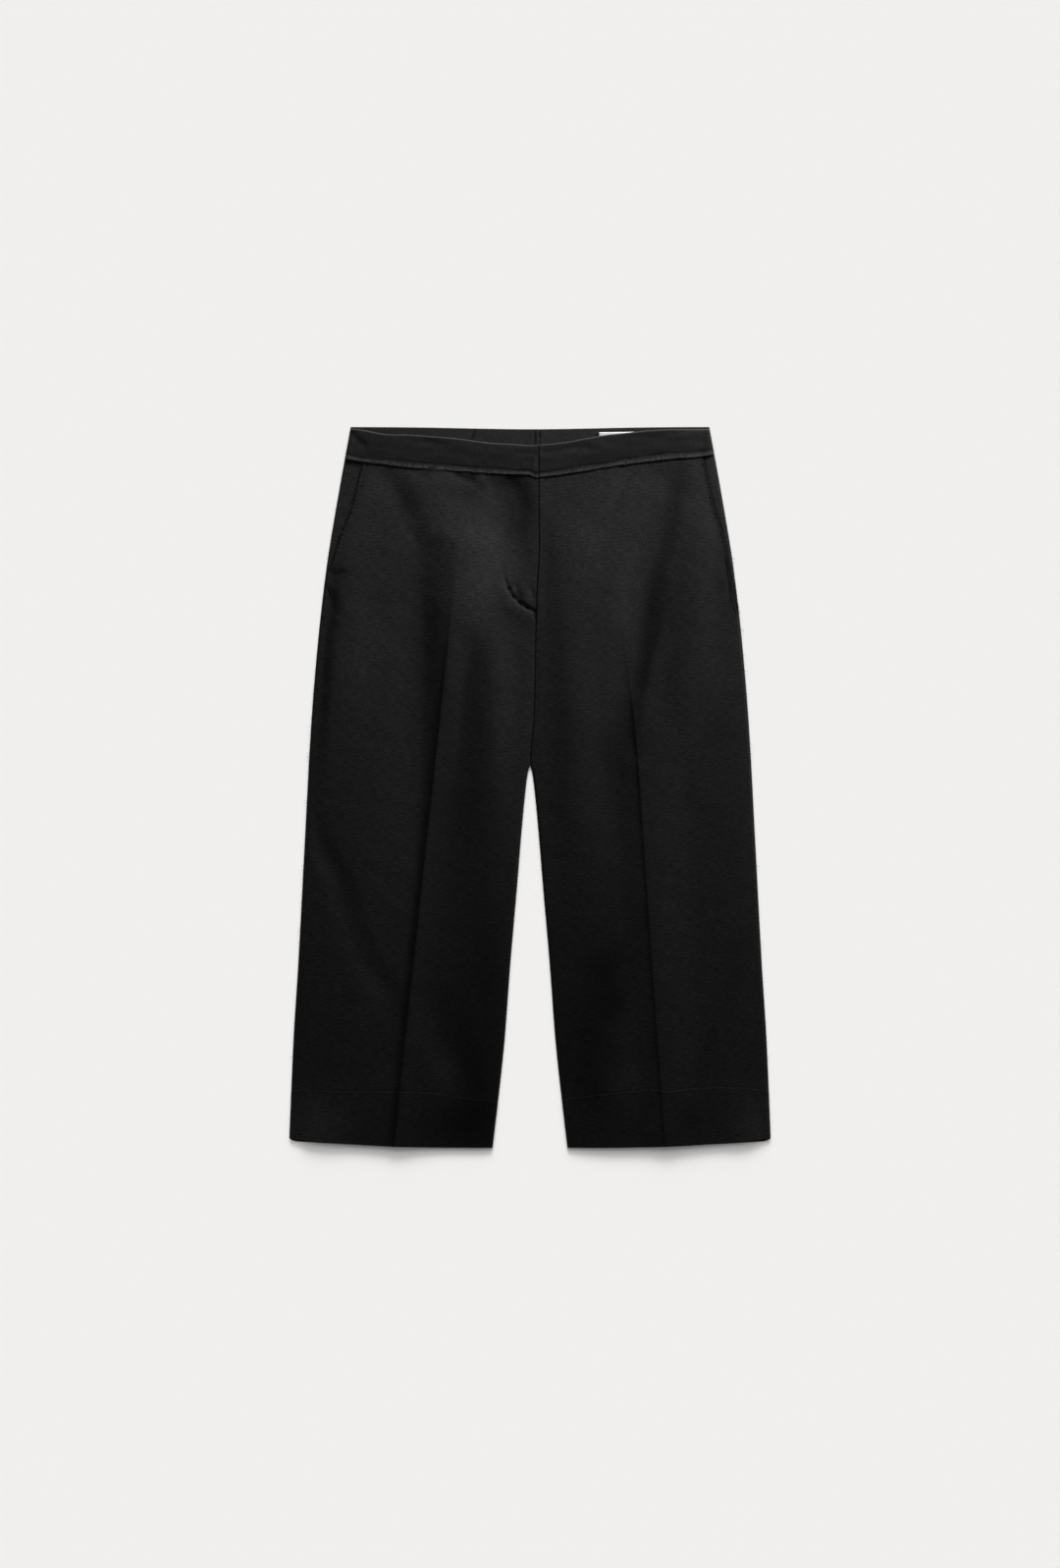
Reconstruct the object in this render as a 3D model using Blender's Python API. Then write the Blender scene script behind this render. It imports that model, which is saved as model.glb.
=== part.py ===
"""Capri trousers laid flat on a table, front side up.

x runs to the viewer's right, which is the wearer's left.
y runs from the hems up to the waist, and z points up from the table.
"down" is the distance below the waist edge and "across" is the distance from the middle.
All sizes are in metres.
"""

import math
from collections import namedtuple

import bmesh
import bpy

# Driving sizes
LENGTH = 0.7630          # waist edge to the inner corner of the hem
PANEL_WALL = 0.0012      # one layer of cloth
DOUBLE_WALL = 0.0024     # turned or faced cloth, in the hems and the waistband
SEAM_GAP = 0.0003        # between pieces where a seam or a fold joins them
HOLLOW = 0.0038          # most room left between the front layer and the back layer
RAW_EDGE_LAP = 0.0012    # how far below the band's stitching the top edges under its raw edge begin
CROTCH_DOWN = 0.3580
FLY_FOOT_DOWN = 0.1960
FLY_LAP = 0.0080         # how far the left front runs under the right front
FLY_LAP_START = 0.0560   # the lap begins below the raw edge of the band
FLY_REACH = 0.0300       # how far from the fly its extra layers lift the fronts
HEM_DEPTH = 0.0500
HEM_SIDE_LIFT = 0.0105   # how much higher the hem ends at the side seam than at the inner leg
BACK_BAND_DEPTH = 0.0270
BACK_WAIST_DIP = 0.0031
BACK_WAIST_DIP_REACH = 0.0600

LABEL_ACROSS = 0.0730
LABEL_WIDTH = 0.0420
LABEL_DOWN = 0.0057
LABEL_DEPTH = 0.0210
LABEL_WALL = 0.0010

SHIELD_ROWS = (0.0220, 0.0460, 0.0520, 0.0580, 0.0660, 0.1000, 0.1300, 0.1600, 0.1900)
SHIELD_WIDTH = 0.0320
SHIELD_STEP_START = 0.0460
SHIELD_STEP_END = 0.0660
ZIP_ROWS = (0.0700, 0.1000, 0.1300, 0.1600, 0.1860)
ZIP_WIDTH = 0.0160
STRIP_WALL = 0.0010

POCKET_TUCK = 0.0120     # how far the facing runs in under the front
POCKET_END_TUCK = 0.0080

Side = namedtuple("Side", "name sign pocket_end")
RIGHT = Side("right", -1.0, 0.1630)
LEFT = Side("left", 1.0, 0.1950)

# Half width of the outline along the side seams.
Outline = namedtuple("Outline", "down side")
OUTLINE = (
    Outline(0.000, 0.1898),
    Outline(0.068, 0.2023),
    Outline(0.151, 0.2158),
    Outline(0.234, 0.2252),
    Outline(0.317, 0.2319),
    Outline(0.442, 0.2387),
    Outline(0.567, 0.2454),
    Outline(0.650, 0.2506),
    Outline(0.763, 0.2553),
)

# Distance from the middle to each inner leg edge, below the crotch.
InnerLeg = namedtuple("InnerLeg", "down half_gap")
INNER_LEG = (
    InnerLeg(0.358, 0.0000),
    InnerLeg(0.364, 0.0019),
    InnerLeg(0.380, 0.0042),
    InnerLeg(0.421, 0.0083),
    InnerLeg(0.484, 0.0135),
    InnerLeg(0.567, 0.0207),
    InnerLeg(0.650, 0.0270),
    InnerLeg(0.763, 0.0395),
)

# The centre seam, front and back, which leans to the wearer's left above the crotch.
CentreSeam = namedtuple("CentreSeam", "down x")
CENTRE_SEAM = (
    CentreSeam(0.000, 0.0085),
    CentreSeam(0.130, 0.0090),
    CentreSeam(0.171, 0.0068),
    CentreSeam(0.213, 0.0058),
    CentreSeam(0.306, 0.0040),
    CentreSeam(0.340, 0.0010),
    CentreSeam(0.358, 0.0000),
)

# Pressed creases, as distances from the middle.
Crease = namedtuple("Crease", "down right left")
CREASE = (
    Crease(0.000, 0.0620, 0.0800),
    Crease(0.182, 0.0817, 0.0946),
    Crease(0.323, 0.0969, 0.1113),
    Crease(0.435, 0.1090, 0.1196),
    Crease(0.594, 0.1262, 0.1305),
    Crease(0.763, 0.1444, 0.1428),
)

# Slant pocket openings, as distances from the middle. Each one runs out into the side seam.
Opening = namedtuple("Opening", "down right left")
OPENING = (
    Opening(0.028, 0.1735, 0.1822),
    Opening(0.048, 0.1789, 0.1862),
    Opening(0.083, 0.1872, 0.1940),
    Opening(0.117, 0.1986, 0.2042),
    Opening(0.153, 0.2110, 0.2114),
    Opening(0.163, 0.2168, 0.2135),
    Opening(0.195, 0.2210, 0.2220),
)

# Front waistband: how far down its top edge, its stitching and its raw lower edge lie.
Waist = namedtuple("Waist", "down right_top right_stitch right_raw left_top left_stitch left_raw")
WAIST = (
    Waist(0.000, 0.0200, 0.0483, 0.0520, 0.0200, 0.0483, 0.0537),
    Waist(0.020, 0.0184, 0.0470, 0.0510, 0.0184, 0.0477, 0.0526),
    Waist(0.040, 0.0174, 0.0460, 0.0503, 0.0162, 0.0449, 0.0504),
    Waist(0.060, 0.0150, 0.0438, 0.0493, 0.0124, 0.0410, 0.0472),
    Waist(0.080, 0.0123, 0.0422, 0.0482, 0.0092, 0.0372, 0.0433),
    Waist(0.104, 0.0104, 0.0406, 0.0458, 0.0064, 0.0333, 0.0406),
    Waist(0.128, 0.0086, 0.0380, 0.0437, 0.0034, 0.0302, 0.0370),
    Waist(0.150, 0.0082, 0.0359, 0.0412, 0.0029, 0.0280, 0.0340),
    Waist(0.176, 0.0036, 0.0322, 0.0385, 0.0027, 0.0278, 0.0333),
    Waist(0.196, 0.0012, 0.0302, 0.0345, 0.0025, 0.0274, 0.0313),
)

# Height of the front layer's outer face at the side edge, on the crease and at the inner edge.
Loft = namedtuple("Loft", "down right_side left_side crest inner")
LOFT = (
    Loft(0.028, 0.0042, 0.0042, 0.0060, 0.0068),
    Loft(0.110, 0.0042, 0.0042, 0.0063, 0.0068),
    Loft(0.171, 0.0042, 0.0042, 0.0067, 0.0068),
    Loft(0.186, 0.0029, 0.0042, 0.0069, 0.0068),
    Loft(0.204, 0.0027, 0.0042, 0.0071, 0.0064),
    Loft(0.220, 0.0027, 0.0029, 0.0072, 0.0052),
    Loft(0.250, 0.0027, 0.0027, 0.0074, 0.0048),
    Loft(0.325, 0.0027, 0.0027, 0.0077, 0.0040),
    Loft(0.358, 0.0027, 0.0027, 0.0078, 0.0028),
    Loft(0.390, 0.0027, 0.0027, 0.0079, 0.0027),
    Loft(0.600, 0.0027, 0.0027, 0.0079, 0.0027),
    Loft(0.702, 0.0027, 0.0027, 0.0080, 0.0027),
    Loft(0.711, 0.0051, 0.0051, 0.0082, 0.0051),
    Loft(0.763, 0.0052, 0.0052, 0.0090, 0.0052),
)

# The largest soft folds of the fronts: each runs from one place to another, and rises or sinks.
Fold = namedtuple("Fold", "x0 down0 x1 down1 reach rise")
FOLDS = (
    Fold(-0.155, 0.045, -0.104, 0.140, 0.022, -0.0010),
    Fold(-0.104, 0.140, -0.110, 0.300, 0.022, -0.0012),
    Fold(-0.110, 0.300, -0.128, 0.470, 0.020, -0.0008),
    Fold(-0.095, 0.055, -0.050, 0.150, 0.026, 0.0006),
    Fold(-0.190, 0.170, -0.192, 0.300, 0.022, 0.0008),
    Fold(-0.228, 0.440, -0.205, 0.560, 0.024, -0.0010),
    Fold(-0.235, 0.610, -0.215, 0.690, 0.026, -0.0007),
    Fold(-0.100, 0.600, -0.085, 0.700, 0.026, 0.0007),
    Fold(-0.066, 0.640, -0.050, 0.720, 0.020, -0.0008),
    Fold(0.160, 0.045, 0.142, 0.150, 0.024, -0.0010),
    Fold(0.142, 0.150, 0.120, 0.290, 0.024, -0.0012),
    Fold(0.195, 0.090, 0.200, 0.270, 0.024, 0.0008),
    Fold(0.100, 0.050, 0.060, 0.120, 0.026, 0.0006),
    Fold(0.052, 0.400, 0.062, 0.560, 0.022, 0.0006),
    Fold(0.060, 0.580, 0.070, 0.700, 0.026, -0.0008),
    Fold(0.105, 0.620, 0.112, 0.700, 0.022, 0.0007),
)
FOLD_FADE = 0.0160       # folds die out this close to the edges of a panel
CREASE_SHARE = 0.32      # part of the height that belongs to the pressed crease itself

# Columns of a front: distances in from the side, shares of the way to the crease and back, distances from the
# inner edge.
SIDE_OFFSETS = (0.0, 0.004, 0.012)
SHARES_TO_CREASE = (0.12, 0.26, 0.40, 0.54, 0.68, 0.80, 0.90, 0.96, 1.0)
SHARES_FROM_CREASE = (0.06, 0.14, 0.26, 0.42, 0.60, 0.80)
INNER_OFFSETS = (0.0100, 0.0060, 0.0008, 0.0)
LAP_STEP_START = 0.0010
LAP_STEP_END = 0.0058

# Rows of a front, as distances down at its inner edge, between the waist seam and the hem line.
FRONT_ROWS = (
    0.0560, 0.0660, 0.0790, 0.0940, 0.1100, 0.1260, 0.1420, 0.1570, 0.1700, 0.1810, 0.1910,
    0.2020, 0.2180, 0.2360, 0.2560, 0.2780, 0.3000, 0.3220, 0.3420, 0.3580, 0.3640, 0.3800,
    0.4000, 0.4230, 0.4470, 0.4710, 0.4960, 0.5210, 0.5460, 0.5710, 0.5960, 0.6210, 0.6450,
    0.6680, 0.6860, 0.7000,
)
BACK_ROWS = (
    0.0480, 0.0680, 0.1100, 0.1510, 0.1920, 0.2340, 0.2750, 0.3170, 0.3400, 0.3580, 0.3640, 0.3800,
    0.4210, 0.4840, 0.5260, 0.5670, 0.6080, 0.6500,
)
BACK_SHARES = (0.0, 0.34, 0.67, 1.0)
HEM_STEP = 0.0010        # half the width of the step where the turned-up hem begins
ClothRow = namedtuple("ClothRow", "outer_down inner_down wall")

BACK_BAND_COLUMNS = 12
BACK_BAND_ROWS = (0.0, 0.5, 1.0)
BAND_RIPPLE = 0.0003
BAND_RIPPLES = 5
BAND_RIPPLE_FADE = 0.0300

# Rows of a front band, each part of the way from one of its lines to the next. The outer face is shifted a
# little where the inner face steps from two layers to the single raw layer.
BandRow = namedtuple("BandRow", "from_line to_line share outer_shift wall")
BAND_ROWS = (
    BandRow("top", "stitch", 0.00, 0.0, DOUBLE_WALL),
    BandRow("top", "stitch", 0.45, 0.0, DOUBLE_WALL),
    BandRow("top", "stitch", 1.00, -0.0005, DOUBLE_WALL),
    BandRow("stitch", "raw", 0.00, 0.0005, PANEL_WALL),
    BandRow("stitch", "raw", 1.00, 0.0, PANEL_WALL),
)
FACING_COLUMNS = 5
FACING_ROWS = 10

BLACK_LINEN = (0.021, 0.021, 0.022, 1.0)
BLACK_FACING = (0.024, 0.024, 0.025, 1.0)
BLACK_TAPE = (0.015, 0.015, 0.016, 1.0)
WHITE_LABEL = (0.780, 0.780, 0.770, 1.0)


def blend(start, end, share):
    return start + (end - start) * share


def ramp(value, start, end):
    """0 before start, 1 after end and smooth in between."""
    share = min(1.0, max(0.0, (value - start) / (end - start)))
    return share * share * (3.0 - 2.0 * share)


def along(rows, column, down):
    """Read one column of a table at a distance, on a smooth curve through its rows."""
    places = [row.down for row in rows]
    values = [getattr(row, column) for row in rows]
    if down <= places[0]:
        return values[0]
    if down >= places[-1]:
        return values[-1]
    index = max(i for i, place in enumerate(places) if place <= down)
    span = places[index + 1] - places[index]
    share = (down - places[index]) / span
    steps = [(values[i + 1] - values[i]) / (places[i + 1] - places[i]) for i in range(len(rows) - 1)]

    def slope(i):
        before = steps[max(i - 1, 0)]
        after = steps[min(i, len(steps) - 1)]
        if before * after <= 0.0:
            return 0.0
        return 2.0 * before * after / (before + after)

    flat = 2.0 * share ** 3 - 3.0 * share ** 2 + 1.0
    rise = share ** 3 - 2.0 * share ** 2 + share
    fall = share ** 3 - share ** 2
    return (
        flat * values[index]
        + (1.0 - flat) * values[index + 1]
        + (rise * slope(index) + fall * slope(index + 1)) * span
    )


def place(x, down, height):
    """A point in the part's frame."""
    return (x, LENGTH / 2.0 - down, height)


# Lines of the cut


def side_x(side, down):
    return side.sign * along(OUTLINE, "side", down)


def seam_x(down):
    return along(CENTRE_SEAM, "x", down)


def inner_x(side, down):
    """Inner edge of a leg: the centre seam above the crotch and the inner leg seam below it."""
    half_gap = side.sign * SEAM_GAP / 2.0
    if down <= CROTCH_DOWN:
        return seam_x(down) + half_gap
    return half_gap + side.sign * along(INNER_LEG, "half_gap", down)


def opening_x(side, down):
    """Side edge of a front: the pocket opening, then the side seam."""
    seam = along(OUTLINE, "side", down)
    if down >= side.pocket_end:
        return side.sign * seam
    return side.sign * min(seam, along(OPENING, side.name, down))


def crease_x(side, down):
    return side.sign * along(CREASE, side.name, down)


def waist_down(side, line, x):
    return along(WAIST, side.name + "_" + line, abs(x))


def hem_down(side, x):
    """The hem's edge, a little higher toward the side seam."""
    outer = along(OUTLINE, "side", LENGTH)
    inner = along(INNER_LEG, "half_gap", LENGTH)
    share = min(1.0, max(0.0, (abs(x) - inner) / (outer - inner)))
    return LENGTH - HEM_SIDE_LIFT * share ** 2.8


def lap_width(down):
    """How far the left front runs in under the right one at the fly."""
    start = ramp(down, FLY_LAP_START - 0.0050, FLY_LAP_START)
    end = ramp(down, FLY_FOOT_DOWN - 0.0060, FLY_FOOT_DOWN + 0.0060)
    return FLY_LAP * start * (1.0 - end)


# Heights of the front layer


def fold_rise(x, down):
    """Sum of the soft folds at a place."""
    total = 0.0
    for fold in FOLDS:
        run_x = fold.x1 - fold.x0
        run_down = fold.down1 - fold.down0
        length = math.hypot(run_x, run_down)
        share = ((x - fold.x0) * run_x + (down - fold.down0) * run_down) / length ** 2
        share = min(1.0, max(0.0, share))
        away = math.hypot(x - blend(fold.x0, fold.x1, share), down - blend(fold.down0, fold.down1, share))
        if away < fold.reach:
            total += fold.rise * 0.5 * (1.0 + math.cos(math.pi * away / fold.reach))
    return total


def front_height(side, x, down):
    """Outer face of a front: low at its edges, full over the leg and highest on the crease."""
    away = side.sign * x
    outer = side.sign * opening_x(side, down)
    crease = side.sign * crease_x(side, down)
    inner = side.sign * inner_x(side, down)
    level = down + (LENGTH - hem_down(side, x)) * ramp(down, CROTCH_DOWN, LENGTH - 2.0 * HEM_DEPTH)
    crest = along(LOFT, "crest", level)
    if away > crease:
        edge = along(LOFT, side.name + "_side", level)
        share = (outer - away) / (outer - crease)
    else:
        edge = along(LOFT, "inner", level)
        share = (away - inner) / (crease - inner)
    share = min(1.0, max(0.0, share))
    swell = blend(1.0 - (1.0 - share) ** 4, share ** 6, CREASE_SHARE)
    fade = ramp(min(outer - away, away - inner), 0.0, FOLD_FADE)
    waist_fade = ramp(down, waist_down(side, "raw", x), waist_down(side, "raw", x) + FOLD_FADE)
    hem_fade = ramp(LENGTH - HEM_DEPTH - level, 0.0, FOLD_FADE)
    return edge + (crest - edge) * swell + fold_rise(x, down) * fade * waist_fade * hem_fade


def lap_drop(side, x, down):
    """How far the left front steps down to pass under the right one."""
    if side is RIGHT:
        return 0.0
    foot = 1.0 - ramp(down, FLY_FOOT_DOWN + 0.0060, FLY_FOOT_DOWN + 0.0220)
    step = 1.0 - ramp(x - seam_x(down), LAP_STEP_START, LAP_STEP_END)
    return (PANEL_WALL + SEAM_GAP) * step * foot


# Meshes


def cloth(name, outer, inner, colour):
    """Close an outer and an inner grid of points into one wall and give it its material."""
    mesh = bmesh.new()
    grids = [[[mesh.verts.new(point) for point in row] for row in grid] for grid in (outer, inner)]
    rows = len(outer)
    columns = len(outer[0])
    for row in range(rows - 1):
        for column in range(columns - 1):
            for grid in grids:
                mesh.faces.new((
                    grid[row][column],
                    grid[row][column + 1],
                    grid[row + 1][column + 1],
                    grid[row + 1][column],
                ))
    rim = [(0, column) for column in range(columns)]
    rim += [(row, columns - 1) for row in range(1, rows)]
    rim += [(rows - 1, column) for column in range(columns - 2, -1, -1)]
    rim += [(row, 0) for row in range(rows - 2, 0, -1)]
    for here, there in zip(rim, rim[1:] + rim[:1]):
        mesh.faces.new((
            grids[0][here[0]][here[1]],
            grids[0][there[0]][there[1]],
            grids[1][there[0]][there[1]],
            grids[1][here[0]][here[1]],
        ))
    bmesh.ops.recalc_face_normals(mesh, faces=mesh.faces)
    data = bpy.data.meshes.new(name)
    mesh.to_mesh(data)
    mesh.free()
    data.materials.append(cloth_material(name, colour))
    piece = bpy.data.objects.new(name, data)
    bpy.context.collection.objects.link(piece)
    return piece


def cloth_material(name, colour):
    material = bpy.data.materials.new(name)
    material.use_nodes = True
    shader = material.node_tree.nodes["Principled BSDF"]
    shader.inputs["Base Color"].default_value = colour
    shader.inputs["Roughness"].default_value = 0.92
    shader.inputs["Metallic"].default_value = 0.0
    material.diffuse_color = colour
    return material


def front_stations(side, down):
    """x of each column of a front, from the side edge over the crease to the centre or inner leg seam."""
    outer = opening_x(side, down)
    crease = crease_x(side, down)
    inner = inner_x(side, down)
    first = outer - side.sign * SIDE_OFFSETS[-1]
    last = inner + side.sign * INNER_OFFSETS[0]
    places = [outer - side.sign * offset for offset in SIDE_OFFSETS]
    places += [blend(first, crease, share) for share in SHARES_TO_CREASE]
    places += [blend(crease, last, share) for share in SHARES_FROM_CREASE]
    places += [inner + side.sign * offset for offset in INNER_OFFSETS]
    return places


def front_columns(side, down):
    """The same columns, with the left front's last one run in under the right front at the fly."""
    places = front_stations(side, down)
    if side is LEFT:
        places[-1] -= lap_width(down)
    return places


def rows_with_hem(rows):
    """Rows of a leg, with a step on the inner face where the turned-up hem begins."""
    hem_line = LENGTH - HEM_DEPTH
    table = [ClothRow(down, down, PANEL_WALL) for down in rows]
    table.append(ClothRow(hem_line - HEM_STEP, hem_line, PANEL_WALL))
    table.append(ClothRow(hem_line + HEM_STEP, hem_line, DOUBLE_WALL))
    table += [ClothRow(down, down, DOUBLE_WALL) for down in (LENGTH - HEM_DEPTH / 2.0, LENGTH)]
    return table


def front_places(side, share):
    """x and distance down of each point on one row of a front. share runs from the waist seam to the hem."""
    top_x = front_columns(side, BACK_BAND_DEPTH)
    hem_x = front_columns(side, LENGTH)
    row = []
    for column, (upper, lower) in enumerate(zip(top_x, hem_x)):
        top = waist_down(side, "stitch", upper) + RAW_EDGE_LAP
        down = blend(top, hem_down(side, lower), share)
        row.append((front_columns(side, down)[column], down))
    return row


def front_outer(side, x, down):
    return front_height(side, x, down) - lap_drop(side, x, down)


def front_inner(side, x, down, wall):
    """Inner face of a front: one wall below the outer face, and never far above the back legs."""
    height = front_outer(side, x, down) - wall
    over_fly = down < FLY_FOOT_DOWN + FLY_REACH and abs(x - seam_x(down)) < FLY_REACH
    if over_fly:
        return height
    return min(height, wall + HOLLOW)


def front(side):
    """One front leg, from the waist seam to the hem."""
    top = waist_down(side, "stitch", inner_x(side, 0.0)) + RAW_EDGE_LAP
    outer = []
    inner = []
    for row in rows_with_hem((top,) + FRONT_ROWS):
        outer_places = front_places(side, (row.outer_down - top) / (LENGTH - top))
        inner_places = front_places(side, (row.inner_down - top) / (LENGTH - top))
        outer.append([place(x, down, front_outer(side, x, down)) for x, down in outer_places])
        inner.append([place(x, down, front_inner(side, x, down, row.wall)) for x, down in inner_places])
    return cloth("front_" + side.name, outer, inner, BLACK_LINEN)


def back(side):
    """One back leg. It lies flat on the table, with its hem turned up on its inner face."""
    top = BACK_BAND_DEPTH + SEAM_GAP
    under = []
    upper = []
    for row in rows_with_hem((top,) + BACK_ROWS):
        under.append(back_row(side, (row.outer_down - top) / (LENGTH - top), 0.0))
        upper.append(back_row(side, (row.inner_down - top) / (LENGTH - top), row.wall))
    return cloth("back_" + side.name, upper, under, BLACK_LINEN)


def back_row(side, share, height):
    row = []
    for column in BACK_SHARES:
        hem_x = blend(side_x(side, LENGTH), inner_x(side, LENGTH), column)
        down = blend(BACK_BAND_DEPTH + SEAM_GAP, hem_down(side, hem_x), share)
        x = blend(side_x(side, down), inner_x(side, down), column)
        row.append(place(x, down, height))
    return row


def back_waist_down(x):
    """The back waist edge, which dips a little at the centre back seam."""
    return BACK_WAIST_DIP * math.exp(-(x / BACK_WAIST_DIP_REACH) ** 2)


def waistband_back(side):
    """Half of the back band, with its inner face up."""
    outer = []
    inner = []
    for share in BACK_BAND_ROWS:
        high = []
        low = []
        for column in range(BACK_BAND_COLUMNS + 1):
            step = column / BACK_BAND_COLUMNS
            guess = blend(side_x(side, 0.0), inner_x(side, 0.0), step)
            down = blend(back_waist_down(guess), BACK_BAND_DEPTH, share)
            x = blend(side_x(side, down), inner_x(side, down), step)
            high.append(place(x, down, DOUBLE_WALL))
            low.append(place(x, down, 0.0))
        outer.append(high)
        inner.append(low)
    return cloth("waistband_back_" + side.name, outer, inner, BLACK_FACING)


def band_height(side, x, down):
    """Outer face of the front band, one layer above the fronts and down on the back band at the side seam."""
    stitch = waist_down(side, "stitch", x)
    over_front = front_height(side, x, stitch) + SEAM_GAP + PANEL_WALL
    at_side = 2.0 * DOUBLE_WALL + SEAM_GAP
    inward = abs(side_x(side, down)) - abs(x)
    ripple = BAND_RIPPLE * (1.0 - math.cos(2.0 * math.pi * BAND_RIPPLES * x / abs(side_x(side, down))))
    level = blend(at_side, over_front, ramp(inward, 0.0, SIDE_OFFSETS[-1]))
    return level + ripple * ramp(inward, 0.0, BAND_RIPPLE_FADE) - lap_drop(side, x, down)


def band_columns(side, down):
    """x of each column of a front band: two at the side seam, then those of the front below."""
    outer = side_x(side, down)
    stations = front_stations(side, down)
    return [outer, blend(outer, stations[0], 0.5)] + stations


def band_row(side, row, shift, wall):
    points = []
    for column, guess in enumerate(band_columns(side, BACK_BAND_DEPTH)):
        start = waist_down(side, row.from_line, guess)
        end = waist_down(side, row.to_line, guess)
        down = blend(start, end, row.share) + shift
        x = band_columns(side, down)[column]
        points.append(place(x, down, band_height(side, x, down) - wall))
    return points


def waistband_front(side):
    """Half of the front band: doubled cloth, with one raw layer left below the stitching."""
    outer = [band_row(side, row, row.outer_shift, 0.0) for row in BAND_ROWS]
    inner = [band_row(side, row, 0.0, row.wall) for row in BAND_ROWS]
    return cloth("waistband_front_" + side.name, outer, inner, BLACK_LINEN)


def pocket_facing(side):
    """The side piece under a slant pocket opening, tucked in under the front."""
    low_height = PANEL_WALL + SEAM_GAP
    outer = []
    inner = []
    end = side.pocket_end + POCKET_END_TUCK
    for row in range(FACING_ROWS + 1):
        high = []
        low = []
        for column in range(FACING_COLUMNS + 1):
            step = column / FACING_COLUMNS
            guess = blend(side_x(side, BACK_BAND_DEPTH), opening_x(side, BACK_BAND_DEPTH), step)
            top = waist_down(side, "stitch", guess) + RAW_EDGE_LAP
            down = blend(top, end, row / FACING_ROWS)
            tucked = opening_x(side, down) - side.sign * POCKET_TUCK
            x = blend(side_x(side, down), tucked, step)
            high.append(place(x, down, low_height + PANEL_WALL))
            low.append(place(x, down, low_height))
        outer.append(high)
        inner.append(low)
    return cloth("pocket_facing_" + side.name, outer, inner, BLACK_FACING)


def shield_low(down):
    """Underside of the fly shield: on the back band at the waist, then on the back legs."""
    on_band = DOUBLE_WALL + SEAM_GAP
    on_back = PANEL_WALL + SEAM_GAP
    return blend(on_band, on_back, ramp(down, SHIELD_STEP_START, SHIELD_STEP_END))


def fly_shield():
    """The underlap behind the fly, from the waist edge to the foot of the fly."""
    return strip("fly_shield", SHIELD_ROWS, SHIELD_WIDTH, shield_low, BLACK_FACING)


def zip_closure():
    """The closed zip, a plain strip on the shield."""
    return strip("zip", ZIP_ROWS, ZIP_WIDTH, lambda down: shield_low(down) + STRIP_WALL + SEAM_GAP, BLACK_TAPE)


def strip(name, rows, width, low, colour):
    """A strip of cloth that follows the centre seam."""
    outer = []
    inner = []
    for down in rows:
        middle = seam_x(down)
        edges = (middle - width / 2.0, middle + width / 2.0)
        outer.append([place(x, down, low(down) + STRIP_WALL) for x in edges])
        inner.append([place(x, down, low(down)) for x in edges])
    return cloth(name, outer, inner, colour)


def label():
    """The small bare label, sewn to the inner face of the back band."""
    low_height = DOUBLE_WALL + SEAM_GAP
    edges = (LABEL_ACROSS, LABEL_ACROSS + LABEL_WIDTH)
    ends = (LABEL_DOWN, LABEL_DOWN + LABEL_DEPTH)
    outer = [[place(x, down, low_height + LABEL_WALL) for x in edges] for down in ends]
    inner = [[place(x, down, low_height) for x in edges] for down in ends]
    return cloth("label", outer, inner, WHITE_LABEL)


for old in list(bpy.data.objects):
    bpy.data.objects.remove(old)

for leg in (RIGHT, LEFT):
    back(leg)
    waistband_back(leg)
    pocket_facing(leg)
    front(leg)
    waistband_front(leg)

fly_shield()
zip_closure()
label()
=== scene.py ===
"""Black linen capri trousers with frayed seams, laid flat on a pale table with the front side up.

x runs to the viewer's right, which is the wearer's left. y runs from the hems up to the waist.
"down" is the distance below the waist edge. Sizes are in metres, and the tables are in millimetres.
"""

import math
from collections import namedtuple

import bmesh
import bpy
import numpy as np
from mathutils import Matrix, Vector


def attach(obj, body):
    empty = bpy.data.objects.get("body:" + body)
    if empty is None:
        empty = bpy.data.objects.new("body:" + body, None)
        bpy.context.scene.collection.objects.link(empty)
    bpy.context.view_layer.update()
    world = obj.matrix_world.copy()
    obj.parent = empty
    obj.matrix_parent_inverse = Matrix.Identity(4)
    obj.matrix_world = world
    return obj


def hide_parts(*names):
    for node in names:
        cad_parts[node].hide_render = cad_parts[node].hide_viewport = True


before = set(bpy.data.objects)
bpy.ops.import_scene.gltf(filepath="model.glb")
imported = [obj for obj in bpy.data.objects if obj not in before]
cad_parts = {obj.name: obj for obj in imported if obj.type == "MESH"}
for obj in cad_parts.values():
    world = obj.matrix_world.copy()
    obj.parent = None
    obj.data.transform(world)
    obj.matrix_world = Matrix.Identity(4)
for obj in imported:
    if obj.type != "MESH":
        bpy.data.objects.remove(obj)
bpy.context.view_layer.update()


# ---- Table, lights and camera --------------------------------------------------------------------
# A plain pale table top, seen straight down. One broad lamp from the upper right shapes the cloth, and
# the table has soft light of its own, from the waist side, so that only the hems throw a shadow.
TABLE_REACH = 60.0
TABLE_LEVEL = -0.0002                    # just clear of the cloth
TABLE_TINT = (0.876, 0.868, 0.853)
ROOM_TINT = (0.877, 0.871, 0.855)        # seen only past the table
TABLE_SKY = 0.10                         # soft light from all round
CAMERA_HEIGHT = 3.691
CAMERA_LENS = 80.0
CAMERA_SENSOR = 36.0
CAMERA_Y = 0.00346

# Lamps over the cloth, with their cones in degrees. The fill hangs above the waist.
Lamp = namedtuple("Lamp", "name place aim power cone breadth")
CLOTH_LAMPS = (
    Lamp("cloth_key", (2.661, 2.480, 0.873), (2.209, 2.234, 0.0), 8900.0, 101.0, 0.16),
    Lamp("cloth_fill", (0.15, 1.243, 0.55), (0.0, 0.3, 0.0), 17.0, 160.0, 0.25),
)

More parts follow.
